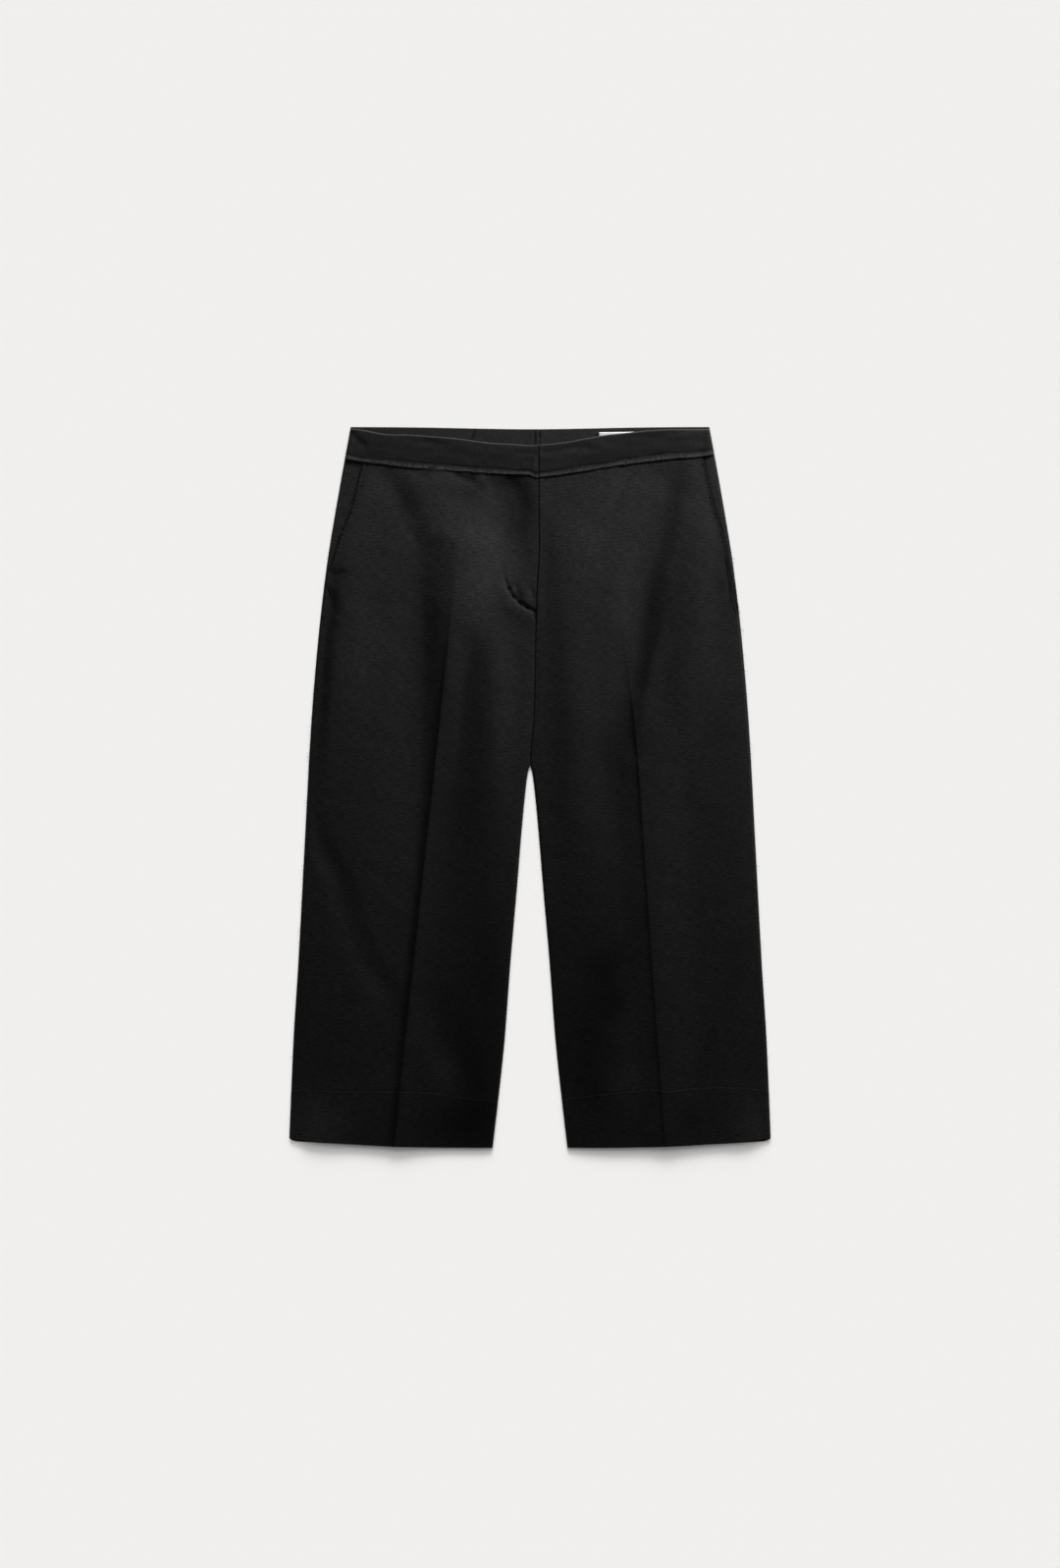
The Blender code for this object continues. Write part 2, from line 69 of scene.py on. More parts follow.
# Broad soft lights on the table, from the waist side: height and breadth in degrees.
TableSun = namedtuple("TableSun", "name height breadth strength")
TABLE_SUNS = (
    TableSun("table_low_sun", 28.0, 20.5, 2.00),
    TableSun("table_middle_sun", 40.0, 68.0, 2.20),
    TableSun("table_overhead", 90.0, 60.0, 0.467),
)


def feed(tree, node, sockets):
    """Set a node's inputs. sockets pairs each one with a value or with the output that feeds it."""
    for key, value in sockets:
        if isinstance(value, bpy.types.NodeSocket):
            tree.links.new(value, node.inputs[key])
        else:
            node.inputs[key].default_value = value
    return node


def put(tree, kind, sockets=(), **settings):
    """Add a node to a tree, with its settings and its inputs."""
    node = tree.nodes.new(kind)
    for name, value in settings.items():
        setattr(node, name, value)
    return feed(tree, node, sockets)


def new_material(name):
    """A new material, its node tree and its shader."""
    material = bpy.data.materials.new(name)
    material.use_nodes = True
    return material, material.node_tree, material.node_tree.nodes["Principled BSDF"]


bpy.context.scene.view_settings.view_transform = "Standard"
bpy.context.scene.view_settings.look = "None"

table_mesh = bpy.data.meshes.new("table_top")
half_table = TABLE_REACH / 2
table_corners = [
    (x * half_table, y * half_table, TABLE_LEVEL) for x, y in ((-1, -1), (1, -1), (1, 1), (-1, 1))
]
table_mesh.from_pydata(table_corners, [], [(0, 1, 2, 3)])
table_top = bpy.data.objects.new("table_top", table_mesh)
bpy.context.collection.objects.link(table_top)

table_paint, table_tree, table_shader = new_material("pale_table")
feed(table_tree, table_shader, [
    ("Base Color", (*TABLE_TINT, 1.0)),
    ("Roughness", 1.0),
    ("Specular IOR Level", 0.0),
])
table_mesh.materials.append(table_paint)

sky = bpy.data.worlds.new("soft_room")
sky.use_nodes = True
sky_tree = sky.node_tree
sky_light = sky_tree.nodes["Background"]
feed(sky_tree, sky_light, [("Color", (1.0, 1.0, 1.0, 1.0)), ("Strength", TABLE_SKY)])
sky_wall = put(sky_tree, "ShaderNodeBackground", [("Color", (*ROOM_TINT, 1.0))])
sky_seen = put(sky_tree, "ShaderNodeLightPath")
sky_mix = put(sky_tree, "ShaderNodeMixShader", [
    ("Fac", sky_seen.outputs["Is Camera Ray"]),
    (1, sky_light.outputs["Background"]),
    (2, sky_wall.outputs["Background"]),
])
feed(sky_tree, sky_tree.nodes["World Output"], [("Surface", sky_mix.outputs["Shader"])])
bpy.context.scene.world = sky


def hang_light(name, kind, place, aim, energy, lights_table):
    """Hang one light, which lights either the table or everything but the table."""
    data = bpy.data.lights.new(name, kind)
    data.energy = energy
    light = bpy.data.objects.new(name, data)
    light.location = place
    light.rotation_euler = (Vector(aim) - Vector(place)).to_track_quat("-Z", "Y").to_euler()
    bpy.context.collection.objects.link(light)
    lit = bpy.data.collections.new(name + "_lights")
    lit.objects.link(table_top)
    light.light_linking.receiver_collection = lit
    lit.collection_objects[0].light_linking.link_state = "INCLUDE" if lights_table else "EXCLUDE"
    return data


for sun in TABLE_SUNS:
    height = math.radians(sun.height)
    waist_side = (0.0, math.cos(height), math.sin(height))
    soft_sun = hang_light(sun.name, "SUN", waist_side, (0.0, 0.0, 0.0), sun.strength, True)
    soft_sun.angle = math.radians(sun.breadth)
for lamp in CLOTH_LAMPS:
    spot = hang_light(lamp.name, "SPOT", lamp.place, lamp.aim, lamp.power, False)
    spot.spot_size = math.radians(lamp.cone)
    spot.spot_blend = 1.0
    spot.shadow_soft_size = lamp.breadth

camera_data = bpy.data.cameras.new("photo_camera")
camera_data.lens = CAMERA_LENS
camera_data.sensor_width = CAMERA_SENSOR
camera = bpy.data.objects.new("photo_camera", camera_data)
camera.location = (0.0, CAMERA_Y, CAMERA_HEIGHT)
bpy.context.collection.objects.link(camera)
bpy.context.scene.camera = camera


# ---- Back legs -----------------------------------------------------------------------------------
# Two back panels of black linen blend, joined at the centre back seam. They lie on the table, their
# side and inner leg edges roll up to meet the fronts, and 5 cm of each hem is turned up inside.
MM = 0.001
LENGTH = 0.7630
CLOTH_WALL = 0.0010
HEM_WALL = 0.0019
SEAM_GAP = 0.0003
SEAM_HEIGHT = 0.00140            # where the front and back edges meet, above the table
HEM_SEAM_HEIGHT = 0.00230
SEAM_HALF = 0.00005
SEAM_LIP = 0.00035               # how far the outer faces end from that height at the seam
SEAM_SLIT = 0.00005              # how far the inner faces end from it, so that they don't touch
LEAST_WALL = 0.00025
FOLD_DROP = 0.0008               # how much a folded edge is thinner than the cloth beside it
CROTCH_DOWN = 0.3580
HEM_DEPTH = 0.0500
HEM_LINE = LENGTH - HEM_DEPTH
HEM_SIDE_LIFT = 0.0105
BACK_BAND_DEPTH = 0.0270
CREASE_GROOVE = 0.00045
BACK_SEAM_ASIDE = 0.0012         # the back centre seam lies a little beside the front one
BACK_EDGE_ROLL = 0.0030
BACK_LIFT = 0.00045              # how far a back rises off the table in its soft waves
BACK_STITCH_INSET = 0.012

Side = namedtuple("Side", "name sign pocket_end grain")
RIGHT = Side("right", -1.0, 0.1630, 0.108)
LEFT = Side("left", 1.0, 0.1950, -0.083)


def measures(columns, *rows):
    """A table with named columns. Its places and sizes are in millimetres."""
    row_of = namedtuple("Row", columns)
    return [row_of(*row) for row in rows]


# Half width of the outline along the side seams.
OUTLINE = measures(
    "down side",
    (0, 189.8), (68, 202.3), (151, 215.8), (234, 225.2), (317, 231.9), (442, 238.7), (567, 245.4),
    (650, 250.6), (763, 255.3),
)

# Distance from the middle to each inner leg edge, below the crotch.
INNER_LEG = measures(
    "down half_gap",
    (358, 0), (364, 1.9), (380, 4.2), (421, 8.3), (484, 13.5), (567, 20.7), (650, 27), (763, 39.5),
)

# The centre seams, front and back.
CENTRE_SEAM = measures(
    "down x",
    (0, 8.5), (130, 9), (171, 6.8), (213, 5.8), (306, 4), (340, 1), (358, 0),
)

# Pressed creases, as distances from the middle.
CREASE = measures(
    "down right left",
    (0, 62, 80), (182, 81.7, 94.6), (323, 96.9, 111.3), (435, 109, 119.6), (594, 126.2, 130.5),
    (763, 144.4, 142.8),
)


def blend(start, end, share):
    return start + (end - start) * share


def near(value, reach):
    """1 where value is 0, and less and less on both sides of it."""
    return np.exp(-(value / reach) ** 2)


def ramp(value, start, end):
    """0 before start, 1 after end and smooth in between."""
    share = np.clip((value - start) / (end - start), 0.0, 1.0)
    return share * share * (3.0 - 2.0 * share)


def read(rows, column, down):
    """Read one column of a table at distances down, on a smooth curve through its rows, in metres."""
    places = np.array([row.down for row in rows]) * MM
    values = np.array([getattr(row, column) for row in rows]) * MM
    spans = np.diff(places)
    steps = np.diff(values) / spans
    before = np.concatenate([steps[:1], steps])
    after = np.concatenate([steps, steps[-1:]])
    together = before * after > 0.0
    slopes = np.where(together, 2.0 * before * after / np.where(together, before + after, 1.0), 0.0)
    down = np.clip(down, places[0], places[-1])
    index = np.clip(np.searchsorted(places, down, side="right") - 1, 0, len(spans) - 1)
    share = (down - places[index]) / spans[index]
    flat = 2.0 * share ** 3 - 3.0 * share ** 2 + 1.0
    rise = share ** 3 - 2.0 * share ** 2 + share
    fall = share ** 3 - share ** 2
    return (
        flat * values[index]
        + (1.0 - flat) * values[index + 1]
        + (rise * slopes[index] + fall * slopes[index + 1]) * spans[index]
    )


def side_x(side, down):
    return side.sign * read(OUTLINE, "side", down)


def seam_x(down):
    return read(CENTRE_SEAM, "x", down)


def inner_x(side, down, aside=0.0):
    """Inner edge of a leg: the centre seam above the crotch and the inner leg seam below it.

    aside moves the centre seam over, and fades out at the crotch.
    """
    half_gap = side.sign * SEAM_HALF
    below = half_gap + side.sign * read(INNER_LEG, "half_gap", down)
    centre_aside = aside * (1.0 - ramp(down, CROTCH_DOWN - 0.03, CROTCH_DOWN - 0.003))
    centre = seam_x(down) + half_gap + centre_aside
    return np.where(down <= CROTCH_DOWN, centre, below)


def crease_x(side, down):
    return side.sign * read(CREASE, side.name, down)


def hem_down(x):
    """The hem's edge, a little higher toward the side seam."""
    outer = read(OUTLINE, "side", LENGTH)
    inner = read(INNER_LEG, "half_gap", LENGTH)
    share = np.clip((np.abs(x) - inner) / (outer - inner), 0.0, 1.0)
    return LENGTH - HEM_SIDE_LIFT * share ** 2.8


def seam_height(level):
    """Height at which a front meets a back. level is the distance down as if the hem were straight."""
    return blend(SEAM_HEIGHT, HEM_SEAM_HEIGHT, ramp(level, HEM_LINE - 0.001, HEM_LINE + 0.001))


def below_crotch(down):
    return ramp(down, CROTCH_DOWN - 0.004, CROTCH_DOWN + 0.010)


def roll(offset, reach):
    """Height share of a rolled edge: 0 at the edge and 1 from reach inward, as a quarter round."""
    share = np.clip(1.0 - offset / reach, 0.0, 1.0)
    return np.sqrt(1.0 - share * share)


def edge_drop(drop, offset, reach):
    """How far a rolled edge drops: the whole drop at the edge, and nothing from reach inward."""
    return drop * (1.0 - roll(offset, reach))


def waves(x, down, wavelength, seed, count=14):
    """Smooth small undulations from -1 to 1, the same each time for one seed."""
    draw = np.random.RandomState(seed)
    total = 0.0
    for _ in range(count):
        turn = draw.uniform(0.0, math.pi)
        length = wavelength * draw.uniform(0.7, 1.7)
        phase = draw.uniform(0.0, 2.0 * math.pi)
        way = x * math.cos(turn) + down * math.sin(turn)
        total = total + np.sin(2.0 * math.pi * way / length + phase)
    return total / math.sqrt(2.0 * count)


def sew_panel(name, outer, inner, grain=0.0, turn=False, shade=None):
    """One wall of cloth between an outer and an inner grid of points.

    Its weave is laid on its own UV map, in metres. grain is the slope of the weft, and turn lays it
    upright. shade is the painted light and shade at each point of the grid, kept as its tone attribute.
    """
    rows, columns = outer.shape[:2]
    count = rows * columns
    points = np.concatenate([outer.reshape(-1, 3), inner.reshape(-1, 3)])
    index = np.arange(count).reshape(rows, columns)
    top = np.stack([index[:-1, :-1], index[:-1, 1:], index[1:, 1:], index[1:, :-1]], -1).reshape(-1, 4)
    rim = np.concatenate([index[0, :-1], index[:-1, -1], index[-1, :0:-1], index[:0:-1, 0]])
    after = np.roll(rim, -1)
    wall = np.stack([rim, rim + count, after + count, after], -1)
    faces = np.concatenate([top, top[:, ::-1] + count, wall])
    mesh = bpy.data.meshes.new(name)
    mesh.from_pydata(points.tolist(), [], faces.tolist())
    work = bmesh.new()
    work.from_mesh(mesh)
    bmesh.ops.recalc_face_normals(work, faces=work.faces)
    work.to_mesh(mesh)
    work.free()
    mesh.shade_smooth()
    cosine = math.cos(math.atan(grain))
    across = cosine * (points[:, 0] - grain * points[:, 1])
    along = cosine * (points[:, 1] + grain * points[:, 0])
    if turn:
        across, along = along, across
    corners = np.zeros(len(mesh.loops), np.int32)
    mesh.loops.foreach_get("vertex_index", corners)
    weave = mesh.uv_layers.new(name="weave")
    weave.data.foreach_set("uv", np.stack([across, along], -1)[corners].astype(np.float32).ravel())
    tone = mesh.attributes.new("tone", "FLOAT", "POINT")
    tones = np.ones(count) if shade is None else shade.reshape(-1)
    tone.data.foreach_set("value", np.concatenate([tones, tones]).astype(np.float32))
    piece = bpy.data.objects.new(name, mesh)
    bpy.context.collection.objects.link(piece)
    return piece


def number(tree, operation, first, second):
    return put(tree, "ShaderNodeMath", [(0, first), (1, second)], operation=operation).outputs[0]


def linen(name, colour, slub=0.55, relief=0.42):
    """Black linen blend: uneven weft threads with slubs, a fine plain weave and a soft, dry finish."""
    cloth, tree, shader = new_material(name)
    uv = put(tree, "ShaderNodeUVMap", uv_map="weave").outputs["UV"]

    def threads(scale, detail, roughness, offset):
        """Noise drawn out into threads. scale gives how many there are to a metre, across and along."""
        lay = put(tree, "ShaderNodeMapping", [
            ("Vector", uv),
            ("Location", offset),
            ("Scale", (*scale, 1.0)),
        ])
        return put(tree, "ShaderNodeTexNoise", [
            ("Vector", lay.outputs["Vector"]),
            ("Scale", 1.0),
            ("Detail", detail),
            ("Roughness", roughness),
        ]).outputs["Fac"]

    def spread(noise, low, high, start=0.3, end=0.7):
        """Noise from start to end, which is nearly all of it, stretched from low to high."""
        return put(tree, "ShaderNodeMapRange", [
            ("Value", noise),
            ("From Min", start),
            ("From Max", end),
            ("To Min", low),
            ("To Max", high),
        ]).outputs["Result"]

    weft = threads((125.0, 1050.0), 2.0, 0.6, (0.0, 0.0, 0.0))
    weft_fine = threads((240.0, 1900.0), 1.0, 0.5, (7.0, 3.0, 0.0))
    warp = threads((1400.0, 120.0), 2.0, 0.5, (1.0, 9.0, 0.0))
    cloudy = threads((26.0, 34.0), 2.0, 0.5, (4.0, 2.0, 0.0))
    nubs = threads((190.0, 900.0), 0.0, 0.5, (2.0, 8.0, 0.0))
    tone = put(tree, "ShaderNodeAttribute", attribute_name="tone").outputs["Fac"]

    light = number(tree, "MULTIPLY", spread(weft, 1.0 - slub, 1.0 + slub), spread(cloudy, 0.95, 1.05))
    light = number(tree, "MULTIPLY", light, spread(warp, 0.84, 1.16))
    # The tone attribute multiplies in painted light and shade.
    light = number(tree, "MULTIPLY", light, tone)
    # Only the highest of this noise shows, as small light nubs.
    light = number(tree, "ADD", light, spread(nubs, 0.0, 1.3, 0.79, 0.86))
    dye = put(tree, "ShaderNodeVectorMath", [(0, colour), ("Scale", light)], operation="SCALE")
    height = number(tree, "ADD", weft, number(tree, "ADD", weft_fine, warp))
    bump = put(tree, "ShaderNodeBump", [("Strength", relief), ("Distance", 0.0006), ("Height", height)])
    feed(tree, shader, [
        ("Base Color", dye.outputs["Vector"]),
        ("Roughness", 0.85),
        ("Specular IOR Level", 0.16),
        ("Sheen Weight", 0.05),
        ("Sheen Roughness", 0.45),
        ("Normal", bump.outputs["Normal"]),
    ])
    cloth.diffuse_color = (*colour, 1.0)
    return cloth


leg_cloth = linen("black_linen", (0.0200, 0.0200, 0.0207))


def grid_points(x, down, height):
    return np.stack([x, LENGTH / 2.0 - down, height], -1)


def thread_rows(breaks, steps):
    """Distances from one break to the next, each stretch in about even steps."""
    places = [breaks[0]]
    for start, end, step in zip(breaks, breaks[1:], steps):
        count = max(1, int(round((end - start) / step)))
        places += [blend(start, end, (i + 1) / count) for i in range(count)]
    return np.array(places)


EDGE_OFFSETS = np.array([0.0, 0.15, 0.5, 1.0, 1.7, 2.5, 3.4, 4.4, 6.0, 8.0]) * MM
HEM_OFFSETS = np.array([0.0, 0.08, 0.3, 0.6, 1.0, 1.6, 2.6]) * MM


def empty_tree(name, inputs):
    """A Geometry Nodes tree with its named inputs and a geometry output."""
    tree = bpy.data.node_groups.new(name, "GeometryNodeTree")
    tree.interface.new_socket("Geometry", in_out="INPUT", socket_type="NodeSocketGeometry")
    for label, kind in inputs:
        tree.interface.new_socket(label, in_out="INPUT", socket_type="NodeSocket" + kind)
    tree.interface.new_socket("Geometry", in_out="OUTPUT", socket_type="NodeSocketGeometry")
    return tree


def chance(tree, seed, step, low, high):
    """A number from low to high for each point, on its own seed."""
    own_seed = put(tree, "FunctionNodeIntegerMath", [(0, seed), (1, step)], operation="ADD")
    draw = put(tree, "FunctionNodeRandomValue", [(2, low), (3, high), (8, own_seed.outputs[0])])
    return draw.outputs[1]


def spaced_points(tree, given, spacing):
    """Points at an even spacing along the given lines."""
    line = put(tree, "GeometryNodeMeshToCurve", [("Mesh", given["Geometry"])])
    sockets = [("Curve", line.outputs[0]), ("Length", spacing)]
    return put(tree, "GeometryNodeResampleCurve", sockets, mode="LENGTH").outputs[0]


def turn_in_place(tree, pose, own_turn):
    """A pose, turned about its own axes."""
    sockets = [(0, pose.outputs[0]), (1, own_turn.outputs[0])]
    return put(tree, "FunctionNodeRotateRotation", sockets, rotation_space="LOCAL").outputs[0]


def finish_tree(tree, given, placed):
    """Smooth what the tree has placed, make it real and give it its material."""
    smooth = put(tree, "GeometryNodeSetShadeSmooth", [("Geometry", placed.outputs[0])])
    real = put(tree, "GeometryNodeRealizeInstances", [("Geometry", smooth.outputs[0])])
    dressed = put(tree, "GeometryNodeSetMaterial", [
        ("Geometry", real.outputs[0]),
        ("Material", given["Material"]),
    ])
    put(tree, "NodeGroupOutput", [("Geometry", dressed.outputs[0])])
    return tree


def stitch_tree():
    """Stitches at an even pitch along each line. Turn lays them across it, as on a bar tack."""
    tree = empty_tree("sewn_stitches", (
        ("Pitch", "Float"),
        ("Length", "Float"),
        ("Width", "Float"),
        ("Height", "Float"),
        ("Turn", "Float"),
        ("Unevenness", "Float"),
        ("Seed", "Int"),
        ("Material", "Material"),
    ))
    given = put(tree, "NodeGroupInput").outputs
    places = spaced_points(tree, given, given["Pitch"])
    bead = put(tree, "GeometryNodeMeshUVSphere", [("Segments", 6), ("Rings", 4), ("Radius", 0.5)])
    size = put(
        tree,
        "ShaderNodeCombineXYZ",
        [("X", given["Length"]), ("Y", given["Width"]), ("Z", given["Height"])],
    )
    stitch = put(tree, "GeometryNodeTransform", [
        ("Geometry", bead.outputs["Mesh"]),
        ("Scale", size.outputs[0]),
    ])
    along = put(tree, "GeometryNodeInputTangent")
    lie = put(tree, "FunctionNodeAlignRotationToVector", [("Vector", along.outputs[0])], axis="X")
    upright = put(
        tree,
        "FunctionNodeAlignRotationToVector",
        [("Rotation", lie.outputs[0]), ("Vector", (0.0, 0.0, 1.0))],
        axis="Z",
        pivot_axis="X",
    )
    skew = number(tree, "MULTIPLY", chance(tree, given["Seed"], 1, -0.5, 0.5), given["Unevenness"])
    turn = put(tree, "ShaderNodeCombineXYZ", [("Z", number(tree, "ADD", given["Turn"], skew))])
    turned = put(tree, "FunctionNodeEulerToRotation", [(0, turn.outputs[0])])
    spare = number(tree, "MULTIPLY", chance(tree, given["Seed"], 2, -1.0, 0.4), given["Unevenness"])
    sewn = put(tree, "GeometryNodeInstanceOnPoints", [
        ("Points", places),
        ("Instance", stitch.outputs[0]),
        ("Rotation", turn_in_place(tree, upright, turned)),
        ("Scale", number(tree, "ADD", spare, 1.0)),
    ])
    return finish_tree(tree, given, sewn)


def colour_threads(tree, shader, noise, stops, relief, depth):
    """Colour a shader from one stop to the next along a noise, and emboss it.

    A stop is a place in the noise and its colour.
    """
    tint = put(tree, "ShaderNodeValToRGB", [("Fac", noise)])
    for element, (position, colour) in zip(tint.color_ramp.elements, stops):
        element.position = position
        element.color = (*colour, 1.0)
    bump = put(tree, "ShaderNodeBump", [("Strength", relief), ("Distance", depth), ("Height", noise)])
    feed(tree, shader, [("Base Color", tint.outputs["Color"]), ("Normal", bump.outputs["Normal"])])


def yarn(name, dark, light, relief=0.4):
    """Spun thread that goes from a darker to a lighter colour along its twist."""
    paint, tree, shader = new_material(name)
    feed(tree, shader, [("Roughness", 0.75), ("Specular IOR Level", 0.2)])
    place = put(tree, "ShaderNodeTexCoord").outputs["Object"]
    twist = put(tree, "ShaderNodeTexNoise", [("Vector", place), ("Scale", 850.0), ("Detail", 2.0)])
    colour_threads(tree, shader, twist.outputs["Fac"], ((0.36, dark), (0.66, light)), relief, 0.0001)
    paint.diffuse_color = (*light, 1.0)
    return paint


def grow_along(name, slot, paths, tree, throws=None, **sizes):
    """Run a Geometry Nodes tree along lines of points, and keep what it makes as a plain mesh.

    throws holds, for each line, the way a loose thread points at each point, as long as the thread.
    sizes are the inputs of the tree, by name.
    """
    starts = np.cumsum([0] + [len(path) for path in paths])
    edges = [
        (start + i, start + i + 1) for start, path in zip(starts, paths) for i in range(len(path) - 1)
    ]
    lines = bpy.data.meshes.new(name + "_lines")
    lines.from_pydata(np.concatenate(paths).tolist(), np.array(edges).tolist(), [])
    if throws is not None:
        throw = lines.attributes.new("throw", "FLOAT_VECTOR", "POINT")
        throw.data.foreach_set("vector", np.concatenate(throws).astype(np.float32).ravel())
    piece = bpy.data.objects.new(name, lines)
    bpy.context.collection.objects.link(piece)
    sewing = piece.modifiers.new("sewing", "NODES")
    sewing.node_group = tree
    for item in tree.interface.items_tree:
        if item.item_type == "SOCKET" and item.in_out == "INPUT" and item.name in sizes:
            sewing[item.identifier] = sizes[item.name]
    seen = bpy.context.evaluated_depsgraph_get()
    made = bpy.data.meshes.new_from_object(piece.evaluated_get(seen), depsgraph=seen)
    piece.modifiers.remove(sewing)
    piece.data = made
    bpy.data.meshes.remove(lines)
    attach(piece, "root")
    return piece


def across_leg(side, down, inset, count):
    """x of points across a leg, from inside its side edge to inside its inner edge."""
    inset = side.sign * inset
    return np.linspace(side_x(side, down) - inset, inner_x(side, down) + inset, count)


def leg_width(side, down):
    return np.abs(side_x(side, down) - inner_x(side, down))


def cut_area(width, start, end):
    """Flat area of a panel from its width at each distance down."""
    return float(np.mean(width(np.linspace(start, end, 400)))) * (end - start)


stitches = stitch_tree()
black_thread = yarn("black_sewing_thread", (0.0025, 0.0025, 0.0027), (0.012, 0.012, 0.0125))
hem_thread = yarn("hem_sewing_thread", (0.010, 0.010, 0.0104), (0.040, 0.040, 0.041))


def back_columns(side, down, middle):
    """x of each column of a back piece, and each point's distance from its side and inner edges.

    The columns are close together by both edges. middle is the share across of those in between.
    """
    edge, inner = side_x(side, down), inner_x(side, down, BACK_SEAM_ASIDE)
    first = len(EDGE_OFFSETS)
    last = first + len(middle)
    x = np.empty_like(down)
    x[:, :first] = edge[:, :first] - side.sign * EDGE_OFFSETS
    x[:, last:] = inner[:, last:] + side.sign * EDGE_OFFSETS[::-1]
    start = edge[:, first:last] - side.sign * EDGE_OFFSETS[-1]
    end = inner[:, first:last] + side.sign * EDGE_OFFSETS[-1]
    x[:, first:last] = blend(start, end, middle)
    return x, side.sign * (edge - x), side.sign * (x - inner)


def back_leg(side):
    top = BACK_BAND_DEPTH + SEAM_GAP
    rows = thread_rows(
        [top, 0.34, CROTCH_DOWN, 0.38, HEM_LINE - 0.0006, HEM_LINE + 0.0006, LENGTH - 0.003],
        [0.008, 0.004, 0.002, 0.008, 0.0006, 0.006],
    )
    rows = np.concatenate([rows, LENGTH - HEM_OFFSETS[::-1]])
    middle = np.linspace(0.0, 1.0, 42)[1:-1]
    columns = len(EDGE_OFFSETS) * 2 + len(middle)
    hem_x = np.linspace(side_x(side, LENGTH), inner_x(side, LENGTH), columns)
    down = top + (rows[:, None] - top) / (LENGTH - top) * (hem_down(hem_x)[None, :] - top)
    level = down + (rows[:, None] - down)
    x, from_side, from_inner = back_columns(side, down, middle)
    from_hem = LENGTH - level
    from_waist = rows[:, None] - top + 0.0 * x
    below = below_crotch(down)
    seam = seam_height(level)
    in_hem = ramp(level, HEM_LINE - 0.0006, HEM_LINE + 0.0006)
    wall = blend(CLOTH_WALL, HEM_WALL, in_hem)
    from_crease = np.abs(x - crease_x(side, down))
    groove = CREASE_GROOVE * near(from_crease - 0.0022, 0.0011) * ramp(down, 0.10, 0.30)
    edge_fade = ramp(np.minimum(from_side, from_inner), 0.004, 0.020) * ramp(from_hem, 0.004, 0.02)
    lift = BACK_LIFT * (1.0 + waves(x, down, 0.085, 5)) * edge_fade * ramp(from_waist, 0.0, 0.02)
    lift = np.maximum(lift, 0.0)
    inner_rise = blend(0.00045, seam - SEAM_LIP, below)
    under = edge_drop(seam - SEAM_LIP, from_side, BACK_EDGE_ROLL)
    under = np.maximum(under, edge_drop(inner_rise, from_inner, blend(0.0010, BACK_EDGE_ROLL, below)))
    under = np.maximum(under, edge_drop(FOLD_DROP, from_hem, 0.0010))
    under = np.maximum(under, edge_drop(FOLD_DROP / 2.0, from_waist, 0.0008))
    under = under + (groove + 0.6 * lift) * edge_fade
    upper = 0.6 * lift * edge_fade * (1.0 - in_hem) + wall
    rise = seam - SEAM_SLIT - wall
    rim_rise = edge_drop(rise, from_side, BACK_EDGE_ROLL)
    rim_rise = np.maximum(rim_rise, edge_drop(below * rise, from_inner, BACK_EDGE_ROLL))
    upper = upper + np.maximum(rim_rise, 0.0) - edge_drop(FOLD_DROP, from_hem, 0.0010) * in_hem
    # The hem's blind stitches sit in a fine groove, clear of the table.
    under = under + 0.00040 * near(level - HEM_LINE, 0.0009) * edge_fade
    under = np.minimum(under, upper - LEAST_WALL)
    piece = sew_panel(
        "back_leg_" + side.name,
        grid_points(x, down, upper),
        grid_points(x, down, under),
        side.grain,
    )
    piece.data.materials.append(leg_cloth)
    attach(piece, "root")
    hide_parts("back_" + side.name)
    stitch_x = across_leg(side, HEM_LINE, BACK_STITCH_INSET, 60)
    stitch_down = top + (HEM_LINE - top) / (LENGTH - top) * (hem_down(stitch_x) - top)
    hem_stitches = grow_along(
        "back_hem_stitches_" + side.name,
        "cloth",
        [grid_points(stitch_x, stitch_down, 0.00024 + 0.0 * stitch_x)],
        stitches,
        Pitch=0.0060, Length=0.0016, Width=0.00035, Height=0.00022, Unevenness=0.3, Seed=3,
        Material=black_thread,
    )
    cut_area(lambda d: leg_width(side, d), top, LENGTH - HEM_SIDE_LIFT / 4.0)


for side in (RIGHT, LEFT):
    back_leg(side)


# ---- Back waistband ------------------------------------------------------------------------------
# The back half of the band, doubled cloth in two pieces joined at the centre back. Its inner face lies
# up and shows as a crescent above the front band, with a slanting join on the wearer's right.
BAND_WALL = 0.0021
BACK_WAIST_DIP = 0.0024
BACK_WAIST_DIP_REACH = 0.0950
FACING_JOIN_X = -0.0590
FACING_JOIN_LEAN = -0.30

facing_cloth = linen("black_facing_linen", (0.0215, 0.0215, 0.0222), slub=0.30, relief=0.25)


def back_waist_down(x):
    return BACK_WAIST_DIP * near(x, BACK_WAIST_DIP_REACH)


